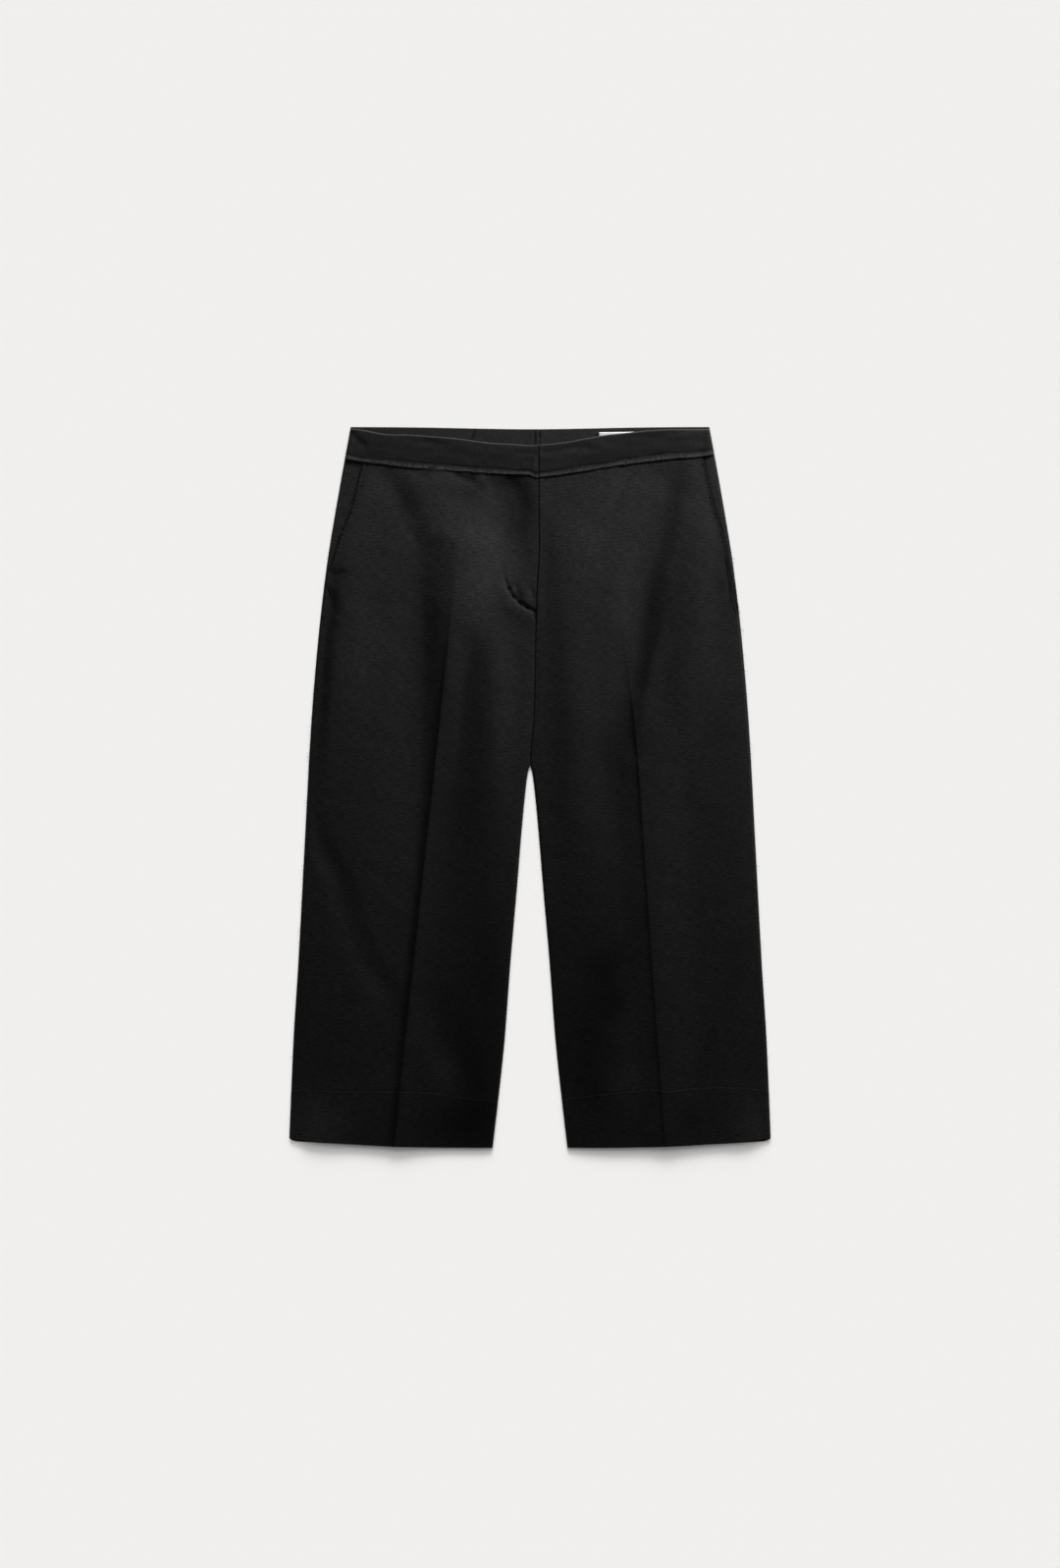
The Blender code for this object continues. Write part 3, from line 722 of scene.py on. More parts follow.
def back_band(side):
    rows = np.concatenate([
        np.array([0.0, 0.1, 0.35, 0.7, 1.1, 1.8]) * MM / BACK_BAND_DEPTH,
        np.linspace(0.1, 0.9, 15),
        1.0 - np.array([1.6, 0.9, 0.4, 0.1, 0.0]) * MM / BACK_BAND_DEPTH,
    ])
    middle = np.linspace(0.0, 1.0, 170)[1:-1]
    guess = np.linspace(side_x(side, 0.0), inner_x(side, 0.0), len(EDGE_OFFSETS) * 2 + len(middle))
    down = blend(back_waist_down(guess)[None, :], BACK_BAND_DEPTH, rows[:, None])
    x, from_side, from_seam = back_columns(side, down, middle)
    from_top = down - back_waist_down(x)
    from_foot = BACK_BAND_DEPTH - down
    upper = BAND_WALL + 0.00012 * waves(x, down, 0.030, 11) * ramp(from_top, 0.0, 0.003)
    upper = upper - edge_drop(0.0009, from_top, 0.0010)
    upper = upper - edge_drop(0.0009, from_seam, 0.0011)
    upper = upper - edge_drop(0.0006, from_foot, 0.0008)
    upper = upper + edge_drop(0.0003, from_side, 0.0030)
    # The centre back seam is a shallow groove with painted shade in it.
    lines = 0.55 * near(from_seam, 0.0009)
    rim = 0.0
    if side is RIGHT:
        # The seam allowance shows as a second line, and the facing has its own slanting join. These, and a
        # drag line below them, are shallow grooves with painted shade in them.
        join = x - FACING_JOIN_X - FACING_JOIN_LEAN * (down - 0.005)
        lines = lines + 1.1 * near(from_seam - 0.0042, 0.0010) + 1.0 * near(join, 0.0013)
        drag = x + 0.0270 + 0.55 * (down - 0.005)
        lines = lines + 0.22 * near(drag, 0.0018)
        # Painted light along the side edge, where its rolled edge would lie in shade.
        rim = 0.8 * np.exp(-from_side / 0.0022)
    upper = upper - 0.0004 * lines
    under = edge_drop(0.0009, from_top, 0.0010)
    under = np.maximum(under, edge_drop(0.0010, from_seam, 0.0010))
    under = np.maximum(under, edge_drop(0.0006, from_foot, 0.0008))
    under = np.maximum(under, edge_drop(0.0020, from_side, 0.0030))
    under = np.maximum(np.minimum(under, upper - 0.00020), 0.0)
    piece = sew_panel(
        "back_band_" + side.name,
        grid_points(x, down, upper),
        grid_points(x, down, under),
        turn=True,
        shade=(1.0 - 0.75 * np.minimum(lines, 1.0)) * (1.0 + rim),
    )
    piece.data.materials.append(facing_cloth)
    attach(piece, "root")
    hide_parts("waistband_back_" + side.name)
    cut_area(lambda d: leg_width(side, d), 0.0, BACK_BAND_DEPTH)


for side in (RIGHT, LEFT):
    back_band(side)


# ---- Label ---------------------------------------------------------------------------------------
# A small white woven label, bare, sewn by its ends to the inner face of the back band. Its end toward
# the wearer's right is folded under and stands up a little.
LABEL_LEFT = 0.0730
LABEL_WIDTH = 0.0420
LABEL_TOP = 0.0058
LABEL_DEPTH = 0.0210
LABEL_WALL = 0.0007
LABEL_BASE = BAND_WALL + 0.0004
LABEL_FOLD = 0.0060
LABEL_LEAN = 0.014
LABEL_INSET = 0.0008             # how far in its stitches start and end

label_across = np.concatenate([
    [0.0, 0.0002, 0.0006, 0.0012],
    np.linspace(0.002, LABEL_WIDTH - 0.001, 32),
    [LABEL_WIDTH],
])
label_rows = np.linspace(0.0, LABEL_DEPTH, 15)
label_x = np.broadcast_to(LABEL_LEFT + label_across, (len(label_rows), len(label_across)))
label_down = LABEL_TOP + label_rows[:, None] - LABEL_LEAN * (label_x - LABEL_LEFT)
label_rise = 0.00028 * (1.0 - ramp(label_across, LABEL_FOLD - 0.0008, LABEL_FOLD + 0.0008))
label_rise = label_rise - edge_drop(0.00030, label_across, 0.0006)
label_rise = label_rise + 0.00012 * np.sin(label_across / LABEL_WIDTH * 7.0)
label_low = LABEL_BASE + 0.00010 + 0.0 * label_x
label_piece = sew_panel(
    "bare_label",
    grid_points(label_x, label_down, label_low + LABEL_WALL + label_rise),
    grid_points(label_x, label_down, label_low),
)

satin, satin_tree, satin_shader = new_material("white_label_satin")
feed(satin_tree, satin_shader, [("Roughness", 0.55), ("Sheen Weight", 0.10)])
satin_uv = put(satin_tree, "ShaderNodeUVMap", uv_map="weave")
satin_lay = put(satin_tree, "ShaderNodeMapping", [
    ("Vector", satin_uv.outputs["UV"]),
    ("Scale", (300.0, 3200.0, 1.0)),
])
satin_threads = put(satin_tree, "ShaderNodeTexNoise", [
    ("Vector", satin_lay.outputs["Vector"]),
    ("Scale", 1.0),
])
satin_stops = (0.25, (0.66, 0.66, 0.64)), (0.65, (0.86, 0.86, 0.85))
colour_threads(satin_tree, satin_shader, satin_threads.outputs["Fac"], satin_stops, 0.25, 0.0002)
label_piece.data.materials.append(satin)
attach(label_piece, "root")
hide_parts("label")

white_thread = yarn("white_sewing_thread", (0.55, 0.55, 0.54), (0.80, 0.80, 0.79))
label_edge = LENGTH / 2.0 - LABEL_TOP
label_face = LABEL_BASE + LABEL_WALL
label_ends = [
    np.array([
        (LABEL_LEFT + place, label_edge + LABEL_LEAN * place - inset, label_face + rise)
        for inset in (LABEL_INSET, LABEL_DEPTH - LABEL_INSET)
    ])
    for place, rise in ((0.0014, 0.00046), (LABEL_WIDTH - 0.0014, 0.00024))
]
label_stitches = grow_along("label_stitches", "label", label_ends, stitches,
    Pitch=0.0017, Length=0.0012, Width=0.00035, Height=0.00022, Unevenness=0.3, Seed=4,
    Material=white_thread,
)


# ---- Pocket facings ------------------------------------------------------------------------------
# The side pieces that show outside each slant pocket opening. They are cut on their own from the same
# cloth, sewn into the side seams and tucked in under the fronts.
POCKET_TUCK = 0.0120
POCKET_END_TUCK = 0.0080
FACING_HEIGHT = 0.0030
FACING_SPREAD = 0.02

# Slant pocket openings, as distances from the middle. Each one runs out into the side seam.
OPENING = measures(
    "down right left",
    (28, 173.5, 182.2), (48, 178.9, 186.2), (83, 187.2, 194), (117, 200.2, 204.8),
    (153, 212, 211.6), (163, 216.8, 213.5), (195, 221, 222),
)

# Front waistband: how far down its top edge, its stitching and its raw lower edge lie, by distance
# from the middle.
WAIST = measures(
    "down right_top right_stitch right_raw left_top left_stitch left_raw",
    (0, 20, 46.9, 51.2, 20, 49.5, 54), (20, 18.4, 46.1, 50.5, 18.4, 47.8, 52.6),
    (40, 17.4, 44.5, 49.8, 16.2, 44.4, 49.8), (60, 15, 43.2, 48.3, 12.4, 41.2, 46.7),
    (80, 12.3, 41.3, 46.9, 9.2, 38.6, 42.9), (104, 10.4, 39.4, 45, 6.7, 33.9, 39.8),
    (128, 8.6, 37.2, 43.4, 3.8, 30.9, 36.8), (150, 8.2, 34.2, 40.6, 2.9, 27.9, 34.2),
    (176, 3.6, 31.8, 37.2, 2.7, 26.6, 32.3), (196, 1.2, 27.5, 34, 2.5, 24.2, 29),
)


# The lapping end of the wearer's right half hangs a little lower.
LAP_END_DROP = 0.0034


def waist_down(side, line, x):
    down = read(WAIST, side.name + "_" + line, np.abs(x))
    if side is RIGHT and line != "top":
        down = down + LAP_END_DROP * ramp(x, -0.0015, 0.0085)
    return down


def opening_x(side, down):
    """Side edge of a front: the pocket opening, then the side seam."""
    seam = read(OUTLINE, "side", down)
    pocket = np.minimum(seam, read(OPENING, side.name, down))
    return side.sign * np.where(down >= side.pocket_end, seam, pocket)


def pocket_facing(side):
    end = side.pocket_end + POCKET_END_TUCK
    share = np.linspace(0.0, 1.0, 110)
    # The first columns keep their distance from the side seam, and the others spread over the rest.
    inward = np.concatenate([EDGE_OFFSETS[:-1] / FACING_SPREAD, np.linspace(0.35, 1.0, 26)])
    top_x = blend(side_x(side, BACK_BAND_DEPTH), opening_x(side, BACK_BAND_DEPTH), inward)
    top = waist_down(side, "stitch", top_x) + 0.0012
    down = blend(top[None, :], end, share[:, None])
    edge = side_x(side, down)
    tucked = opening_x(side, down) - side.sign * POCKET_TUCK
    width = np.abs(edge - tucked)
    inset = np.minimum(inward[None, :] * FACING_SPREAD, inward[None, :] * width)
    inset = np.where(inward[None, :] < 0.33, inset, inward[None, :] * width)
    x = edge - side.sign * inset
    seam = seam_height(down)
    face = FACING_HEIGHT + 0.0001 * waves(x, down, 0.02, 17)
    upper = blend(seam + SEAM_LIP, face, roll(inset, 0.0040))
    under = blend(seam + SEAM_SLIT, 0.00150, ramp(inset, 0.0, 0.0015))
    under = np.minimum(under, upper - LEAST_WALL)
    outside = side.sign * (x - opening_x(side, down))
    uneven = 0.5 + 0.5 * waves(x, down, 0.006, 19)
    # Painted shade along the pocket opening, faint on the wearer's right and deep on the left. Painted light
    # by the side edge, and on the right also at the opening itself.
    if side is RIGHT:
        shade = 1.0 - near(outside - 0.0004, 0.0010) * (0.05 + 0.45 * uneven)
        shade = shade * (1.0 + 2.0 * np.exp(-inset / 0.0014)) * (1.0 + 0.6 * near(outside, 0.0015))
    else:
        shade = 1.0 - near(outside - 0.0005, 0.0015 + 0.0010 * uneven) * (0.72 + 0.25 * uneven)
        shade = shade * (1.0 + 0.8 * np.exp(-inset / 0.0025) * ramp(down, 0.125, 0.140))
    piece = sew_panel(
        "pocket_facing_panel_" + side.name,
        grid_points(x, down, upper),
        grid_points(x, down, under),
        side.grain,
        shade=np.clip(shade, 0.1, 3.0),
    )
    piece.data.materials.append(leg_cloth)
    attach(piece, "root")
    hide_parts("pocket_facing_" + side.name)

    def facing_width(down):
        return np.abs(side_x(side, down) - opening_x(side, down)) + POCKET_TUCK

    cut_area(facing_width, float(np.min(top)), end)


for side in (RIGHT, LEFT):
    pocket_facing(side)


# ---- Fly underlap and zip ------------------------------------------------------------------------
# A plain strip of the same cloth behind the fly, with the closed zip on it. The fronts hide both.
SHIELD_TOP = 0.0220
SHIELD_FOOT = 0.1900
SHIELD_WIDTH = 0.0320
STRIP_WALL = 0.0010
ZIP_TOP = 0.0700
ZIP_FOOT = 0.1860
ZIP_WIDTH = 0.0160
ZIP_CHAIN = 0.0018
ZIP_OVER = 0.0013                # the tape's underside over that of the underlap
ZIP_RIDGE = 0.0004               # how far the closed teeth stand out


def shield_low(down):
    return blend(0.0027, 0.0015, ramp(down, 0.046, 0.066))


def zip_low(down):
    return shield_low(down) + ZIP_OVER


def fly_strip(name, start, end, width, low, ridge, node, material):
    down = np.linspace(start, end, 56)[:, None]
    offset = np.linspace(-0.5, 0.5, 21)[None, :] * width
    x = seam_x(down) + offset
    down = down + 0.0 * x
    edge = roll(width / 2.0 - np.abs(offset), 0.0005)
    upper = low(down) + STRIP_WALL * blend(0.7, 1.0, edge) + ridge * np.exp(-(offset / ZIP_CHAIN) ** 4)
    under = low(down) + STRIP_WALL * blend(0.3, 0.0, edge)
    piece = sew_panel(name, grid_points(x, down, upper), grid_points(x, down, under))
    piece.data.materials.append(material)
    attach(piece, "root")
    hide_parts(node)
    return piece


tape_cloth = linen("black_zip_tape", (0.0150, 0.0150, 0.0157), slub=0.10, relief=0.5)
underlap = fly_strip(
    "fly_underlap", SHIELD_TOP, SHIELD_FOOT, SHIELD_WIDTH, shield_low, 0.0, "fly_shield", leg_cloth
)
zip_strip = fly_strip(
    "closed_zip", ZIP_TOP, ZIP_FOOT, ZIP_WIDTH, zip_low, ZIP_RIDGE, "zip", tape_cloth
)
tooth_down = np.linspace(ZIP_TOP + 0.002, ZIP_FOOT - 0.002, 60)
tooth_height = zip_low(tooth_down) + STRIP_WALL + ZIP_RIDGE
zip_teeth = grow_along(
    "zip_teeth", "tape", [grid_points(seam_x(tooth_down), tooth_down, tooth_height)], stitches,
    Pitch=0.0013, Length=0.0034, Width=0.0008, Height=0.0006, Turn=math.pi / 2.0, Seed=5,
    Material=black_thread,
)


# ---- Front legs ----------------------------------------------------------------------------------
# The main pieces: two fronts of the same linen, each cut from the waist seam to the hem. The wearer's
# right one laps over the left one at the fly. Each has a pressed crease, and soft folds fall from the
# hips and the waist.
SIDE_ROLL = 0.0040
INNER_ROLL = 0.0036
FLY_FOOT_DOWN = 0.1960
FLY_LAP = 0.0080
FLY_LAP_START = 0.0560
FLY_DROP = 0.0013
RAW_EDGE_LAP = 0.0012
CREASE_SHARE = 0.25
FOLD_FADE = 0.0160
FOLD_STRENGTH = 1.3
PRESS_RISE = 0.0010              # the pressed crease: steep on the viewer's left, gentle on the right
PRESS_STEEP = 0.0022
PRESS_GENTLE = 0.0140
PRESS_BEGINS = {"right": (0.125, 0.300), "left": (0.180, 0.360)}
FRONT_ROW = 0.0027
FINE_ROW = 0.0015
HEM_ROW = 0.0005

# How far down the hem's stitch line runs, by distance from the middle.
HEM_STITCH = measures(
    "down right left",
    (40, 713.4, 711.6), (63, 711.8, 708.2), (77, 710, 706.4), (103, 705.4, 704),
    (133, 704.2, 701.8), (148, 704, 703.2), (170, 703.8, 700.6), (196, 703.8, 699.3),
    (222, 703, 700), (254, 702.4, 703.2),
)

# Height of the front layer's outer face at the side edge, on the crease and at the inner edge.
LOFT = measures(
    "down right_side left_side crest inner",
    (28, 4, 4, 6.4, 7), (110, 4, 4, 6.6, 7), (171, 3.9, 4, 7, 7), (186, 3.4, 4, 7, 7),
    (204, 3.3, 3.9, 7, 6.6), (220, 3.3, 3.5, 7, 5.6), (250, 3.3, 3.3, 7, 5),
    (325, 3.3, 3.3, 7, 4.2), (358, 3.3, 3.3, 7.2, 3.4), (390, 3.3, 3.3, 7.4, 3.3),
    (600, 3.3, 3.3, 7.6, 3.3), (702, 3.4, 3.4, 7.9, 3.4), (716, 4.5, 4.5, 8.1, 4.5),
    (763, 4.6, 4.6, 8.4, 4.6),
)

# Soft folds that run down the legs. Each is a line of places: distance down, x, reach to the viewer's
# left and right, and rise, which is negative in a trough.
FOLDS = {
    "right_crest": (
        (40, -118, 34, 40, 0), (62, -113, 36, 48, 1.7), (98, -97, 40, 60, 3.3),
        (130, -77, 42, 62, 4.9), (161, -79, 40, 60, 5.1), (192, -83, 34, 56, 5.2),
        (234, -87, 28, 32, 4.2), (276, -92, 24, 26, 3.4), (317, -96, 20, 26, 2.6),
        (359, -100, 16, 26, 1.9), (400, -105, 13, 26, 1.3), (480, -113, 10, 28, 0.9),
        (560, -121, 9, 30, 0.7), (763, -144, 9, 30, 0.5),
    ),
    "right_hip_trough": (
        (36, -160, 24, 24, 0), (60, -146, 24, 24, -1), (130, -124, 30, 24, -0.8),
        (240, -124, 32, 22, -1), (320, -128, 30, 20, -0.5), (400, -136, 30, 20, 0),
    ),
    "right_lap_trough": (
        (46, -26, 24, 30, 0), (67, -28, 30, 36, -2.2), (92, -24, 34, 30, -1.6),
        (140, -18, 36, 22, -0.6), (190, -20, 36, 22, 0),
    ),
    "right_hip_swell": (
        (160, -200, 14, 48, 0), (210, -204, 14, 52, 2), (276, -208, 14, 54, 2.2),
        (340, -214, 14, 50, 1.2), (420, -218, 16, 46, 0),
    ),
    "right_thigh_swell": (
        (196, -52, 34, 34, 0), (234, -42, 34, 30, 2.6), (276, -40, 36, 30, 3.4),
        (317, -41, 36, 28, 3.2), (359, -43, 36, 28, 2.2), (420, -47, 36, 30, 0.8),
        (480, -50, 40, 30, 0),
    ),
    "right_side_dent": (
        (400, -232, 18, 20, 0), (442, -222, 20, 22, -1.4), (484, -202, 22, 22, -1.7),
        (525, -190, 24, 24, -1.5), (567, -174, 24, 26, -1.2), (608, -148, 22, 22, -1),
        (640, -138, 20, 20, 0),
    ),
    "right_shin_swell": (
        (570, -178, 20, 30, 0), (608, -180, 22, 30, 1.2), (650, -197, 24, 44, 1.7),
        (686, -210, 24, 50, 1.4), (733, -230, 18, 54, 1.9), (763, -234, 16, 54, 1.9),
    ),
    "right_hem_valley": (
        (580, -108, 30, 24, 0), (620, -98, 34, 40, -1.8), (655, -86, 38, 40, -3),
        (690, -74, 42, 30, -3.4), (725, -78, 44, 36, -1.8), (760, -90, 44, 50, -1.2),
    ),
    "left_hip_trough": (
        (30, 160, 40, 24, 0), (60, 147, 44, 26, -1.9), (98, 139, 44, 24, -2.6),
        (130, 133, 44, 24, -3.2), (161, 124, 42, 24, -3.8), (192, 120, 38, 22, -4.2),
        (234, 112, 32, 22, -3.8), (276, 106, 28, 20, -2.6), (317, 102, 24, 18, -1.2),
        (360, 108, 24, 20, 0),
    ),
    "left_hip_swell": (
        (70, 182, 30, 26, 0), (120, 178, 30, 28, 1.4), (200, 174, 32, 32, 2), (280, 166, 32, 44, 2),
        (360, 158, 32, 50, 1), (420, 156, 32, 46, 0),
    ),
    "left_thigh_swell": (
        (84, 34, 26, 44, 0), (130, 36, 28, 60, 1.5), (192, 41, 30, 56, 1.6), (250, 46, 34, 44, 2.2),
        (320, 50, 36, 44, 3), (400, 52, 36, 44, 2.4), (480, 54, 32, 44, 0.8), (530, 56, 32, 44, 0),
    ),
    "left_crest": (
        (270, 122, 36, 34, 0), (320, 126, 40, 36, 1.8), (380, 130, 42, 40, 2.4),
        (480, 134, 44, 44, 2.6), (580, 138, 42, 44, 2.4), (680, 143, 38, 44, 1.6),
        (763, 146, 32, 44, 1),
    ),
    "left_hem_swell": (
        (570, 96, 36, 30, 0), (620, 88, 38, 34, 1.6), (655, 84, 34, 40, 2.8), (690, 76, 30, 42, 3),
        (722, 78, 32, 40, 1.2), (750, 78, 30, 40, 0),
    ),
    "left_shin_dent": (
        (530, 228, 22, 18, 0), (567, 213, 26, 20, -1.2), (608, 198, 28, 22, -1.6),
        (650, 178, 28, 22, -2), (686, 170, 26, 20, -1.6), (715, 164, 24, 20, 0),
    ),
    "left_corner_swell": (
        (690, 214, 26, 20, 0), (725, 224, 34, 26, 1.2), (763, 228, 34, 26, 1.6),
    ),
}

# Short dents and pulls in the cloth, from one place to another: first the six of the fly's curved
# stitch line, then the tacks and the drag lines beside them.
DENTS = measures(
    "x0 down0 x1 down1 reach rise",
    (-28, 156, -25.8, 163, 1.2, -0.5), (-25.8, 163, -22.6, 172, 1.4, -0.9),
    (-22.6, 172, -17.6, 180, 1.6, -1.3), (-17.6, 180, -10.4, 187, 1.8, -1.6),
    (-10.4, 187, -3.1, 191.8, 1.9, -1.6), (-3.1, 191.8, 4, 195, 1.9, -1.4),
    (5, 195, 5.4, 202, 1.8, -0.9), (-14.5, 170, -12, 180, 2.8, -0.9), (2, 174, 3, 181, 2.4, -0.6),
    (-5, 176, -4, 184, 3.4, 0.6), (-30, 176, -20, 192, 6, 0.4), (-18, 192, -4, 202, 7, 0.6),
    (-18, 56, -6, 88, 8, -0.8), (-209.5, 153, -199, 153.8, 3, -0.7), (-210, 176, -206, 196, 5, -1),
    (-105, 46, -62, 68, 10, 1), (208, 146, 214, 176, 5, -0.8), (152, 210, 160, 208.5, 1.1, 0.45),
    (104, 52, 84, 96, 7, -0.6),
)

# Painted shade along lines: at the ends of the pocket openings, by small pulls below the waistband,
# and where the wearer's left crease begins.
SHADED_LINES = measures(
    "x0 down0 x1 down1 reach tone",
    (-209, 153.6, -200, 154.4, 2.4, -0.80), (-212.4, 168, -211.4, 178, 1.8, -0.42),
    (-208, 182, -205.5, 210, 4.6, -0.38), (-109.2, 49.9, -103, 45.2, 1.1, -0.62),
    (-76.5, 50.4, -67, 53, 2.8, -0.90), (-67, 53, -59.5, 54.8, 3.6, -0.92),
    (-58.5, 54.6, -50, 65, 3.4, -0.36), (145.6, 166, 141.4, 192.4, 5, -0.38),
    (141.4, 192.4, 137.3, 213.2, 5, -0.44), (137.3, 213.2, 130.5, 234, 5.2, -0.44),
    (130.5, 234, 123.8, 254.8, 5.2, -0.44), (123.8, 254.8, 120, 278, 5.6, -0.42),
    (120, 278, 116, 296, 5.6, -0.22), (207.2, 126, 208.6, 143, 1.5, -0.36),
    (208.6, 143, 210.2, 160, 2, -0.58), (210.2, 160, 212.4, 176, 2, -0.58),
    (212.4, 176, 214.2, 188, 1.8, -0.58), (214.2, 188, 218, 197, 1.6, -0.50),
)

# Painted light and shade in wide soft zones: the lighter zones are painted light, and the darker
# ones, on the inner legs and in the troughs by the creases, are painted shade.
PAINTED_TONE_ZONES = measures(
    "x down across along tone",
    (-54, 140, 36, 62, 0.46), (-26, 158, 22, 34, 0.26), (-118, 98, 14, 16, 0.46),
    (-100, 150, 14, 40, 0.18), (-174, 118, 24, 44, 0.34), (-202, 172, 9, 24, -0.38),
    (-88, 296, 13, 55, -0.32), (-128, 410, 16, 110, 0.20), (-42, 600, 24, 110, -0.26),
    (-84, 738, 34, 26, -0.28), (-90, 688, 12, 16, 0.32), (-54, 62, 6, 6, -0.25),
    (-108, 115, 14, 10, 1.50), (-120, 99, 9, 12, 0.42), (-22, 68, 12, 12, -0.20),
    (-58, 172, 22, 26, 0.18), (-13, 145, 8, 22, 0.28), (66, 130, 10, 14, 0.20),
    (203, 165, 8, 14, -0.20), (198, 318, 16, 16, -0.20), (150, 234, 6, 12, 0.26),
    (92, 380, 14, 40, -0.14), (-72, 395, 44, 46, -0.22), (82, 567, 22, 20, -0.36),
    (14, 567, 8, 16, -0.30), (95, 608, 9, 14, -0.25), (-155, 686, 12, 14, 0.32),
    (-24, 54.5, 12, 5, -0.36), (1, 55.5, 6, 3, 0.50), (-74, 58, 8, 5, 0.25),
    (-6, 84, 18, 40, -0.48), (-205, 156, 9, 6, -0.25), (-176, 235, 34, 60, 0.26),
    (-166, 62, 32, 24, 0.24), (-84, 54, 24, 15, 0.26), (-66, 290, 22, 90, -0.20),
    (-62, 440, 42, 80, -0.18), (-60, 580, 52, 150, -0.36), (-50, 735, 50, 55, -0.40),
    (-234, 742, 36, 34, 1), (-150, 420, 26, 160, 0.16), (64, 600, 46, 150, -0.34),
    (60, 668, 44, 50, -0.14), (108, 310, 28, 70, -0.34), (134, 190, 20, 50, -0.18),
    (206, 165, 22, 50, -0.20), (126, 62, 40, 26, 0.12), (196, 380, 50, 240, -0.20),
    (160, 620, 30, 90, 0.08), (238, 745, 34, 30, 0.70), (72, 118, 26, 40, 0.22),
    (96, 236, 10, 20, -0.22), (84, 345, 14, 34, -0.28), (82, 606, 18, 26, -0.30),
    (106, 688, 16, 18, 0.36), (157, 66, 12, 18, -0.22), (92, 66, 18, 18, 0.18),
    (170, 732, 14, 16, -0.25),
)


def fold_height(side, x, down):
    total = np.zeros_like(x)
    for name, places in FOLDS.items():
        if not name.startswith(side.name):
            continue
        rows = measures("down x left right rise", *places)
        middle = read(rows, "x", down)
        reach = np.where(x < middle, read(rows, "left", down), read(rows, "right", down))
        away = np.clip(np.abs(x - middle) / reach, 0.0, 1.0)
        total += read(rows, "rise", down) * 0.5 * (1.0 + np.cos(math.pi * away))
    return FOLD_STRENGTH * total


def beside_line(line, x, down):
    """1 on a short straight line of a table, and less and less beside it."""
    run_x = (line.x1 - line.x0) * MM
    run_down = (line.down1 - line.down0) * MM
    past_x = x - line.x0 * MM
    past_down = down - line.down0 * MM
    share = (past_x * run_x + past_down * run_down) / (run_x ** 2 + run_down ** 2)
    share = np.clip(share, 0.0, 1.0)
    away = np.hypot(past_x - share * run_x, past_down - share * run_down)
    return near(away, line.reach * MM)


def in_zone(zone, x, down):
    """1 at the middle of a soft zone, and less and less around it."""
    across = (x - zone.x * MM) / (zone.across * MM)
    along = (down - zone.down * MM) / (zone.along * MM)
    return np.exp(-across ** 2 - along ** 2)


def dent_height(side, x, down):
    total = np.zeros_like(x)
    for dent in DENTS:
        # One that ends near the middle is in both fronts.
        if dent.x1 * side.sign > 0.0 or abs(dent.x1) < 10.0:
            total += dent.rise * MM * beside_line(dent, x, down)
    return total


def hem_stitch_down(side, x):
    return read(HEM_STITCH, side.name, np.abs(x))


def leg_level(side, x, down):
    """Distance down as if the hem and its stitch line were straight."""
    stitch = hem_stitch_down(side, x)
    above = CROTCH_DOWN + (down - CROTCH_DOWN) * (HEM_LINE - CROTCH_DOWN) / (stitch - CROTCH_DOWN)
    below = HEM_LINE + (down - stitch) * HEM_DEPTH / (hem_down(x) - stitch)
    return np.where(down < CROTCH_DOWN, down, np.where(down < stitch, above, below))


def row_down(level, top, stitch, foot):
    """Distance down of a row of cloth, the other way round."""
    above = CROTCH_DOWN + (level - CROTCH_DOWN) * (stitch - CROTCH_DOWN) / (HEM_LINE - CROTCH_DOWN)
    below = stitch + (level - HEM_LINE) * (foot - stitch) / HEM_DEPTH
    upper = blend(top, CROTCH_DOWN, (level - np.min(top)) / (CROTCH_DOWN - np.min(top)))
    return np.where(level < CROTCH_DOWN, upper, np.where(level < HEM_LINE, above, below))


def front_height(side, x, down):
    """Outer face of a front without its seams and dents: low at the edges and full over the leg."""
    away = side.sign * x
    outer = side.sign * opening_x(side, down)
    crease = side.sign * crease_x(side, down)
    inner = side.sign * inner_x(side, down)
    level = leg_level(side, x, down)
    crest = read(LOFT, "crest", level)
    past = away > crease
    edge = np.where(past, read(LOFT, side.name + "_side", level), read(LOFT, "inner", level))
    share = np.where(past, (outer - away) / (outer - crease), (away - inner) / (crease - inner))
    share = np.clip(share, 0.0, 1.0)
    swell = blend(1.0 - (1.0 - share) ** 4, share ** 6, CREASE_SHARE)
    fade = ramp(np.minimum(outer - away, away - inner), 0.0, FOLD_FADE)
    waist_fade = ramp(down, waist_down(side, "stitch", x), waist_down(side, "raw", x) + FOLD_FADE)
    ripple = 0.00016 * waves(x * 0.6, down, 0.030, 21) + 0.00006 * waves(x * 0.5, down, 0.013, 22)
    folds = (fold_height(side, x, down) + ripple) * fade * waist_fade
    return edge + (crest - edge) * swell + folds


def lap_width(down):
    start = ramp(down, FLY_LAP_START - 0.0050, FLY_LAP_START)
    end = ramp(down, FLY_FOOT_DOWN - 0.0060, FLY_FOOT_DOWN + 0.0060)
    return FLY_LAP * start * (1.0 - end)


def lap_drop(side, x, down):
    """How far the left front steps down to pass under the right one."""
    if side is RIGHT:
        return 0.0
    foot = 1.0 - ramp(down, FLY_FOOT_DOWN + 0.0040, FLY_FOOT_DOWN + 0.0160)
    step = 1.0 - ramp(x - seam_x(down), 0.0001, 0.0014)
    return FLY_DROP * step * foot


def press_height(side, x, down):
    """The pressed crease: a fine ridge, steep on the viewer's left and gentle on the right."""
    past = x - crease_x(side, down)
    pressed = np.abs(past) / np.where(past < 0.0, PRESS_STEEP, PRESS_GENTLE)
    share = 1.0 if side is RIGHT else 0.7
    return PRESS_RISE * share * np.exp(-(pressed ** 1.2)) * ramp(down, *PRESS_BEGINS[side.name])


def front_face(side, x, down):
    """Outer face of a front, all but its turned edges and its hem line."""
    low = front_height(side, x, down) - lap_drop(side, x, down)
    return low + dent_height(side, x, down) + press_height(side, x, down)


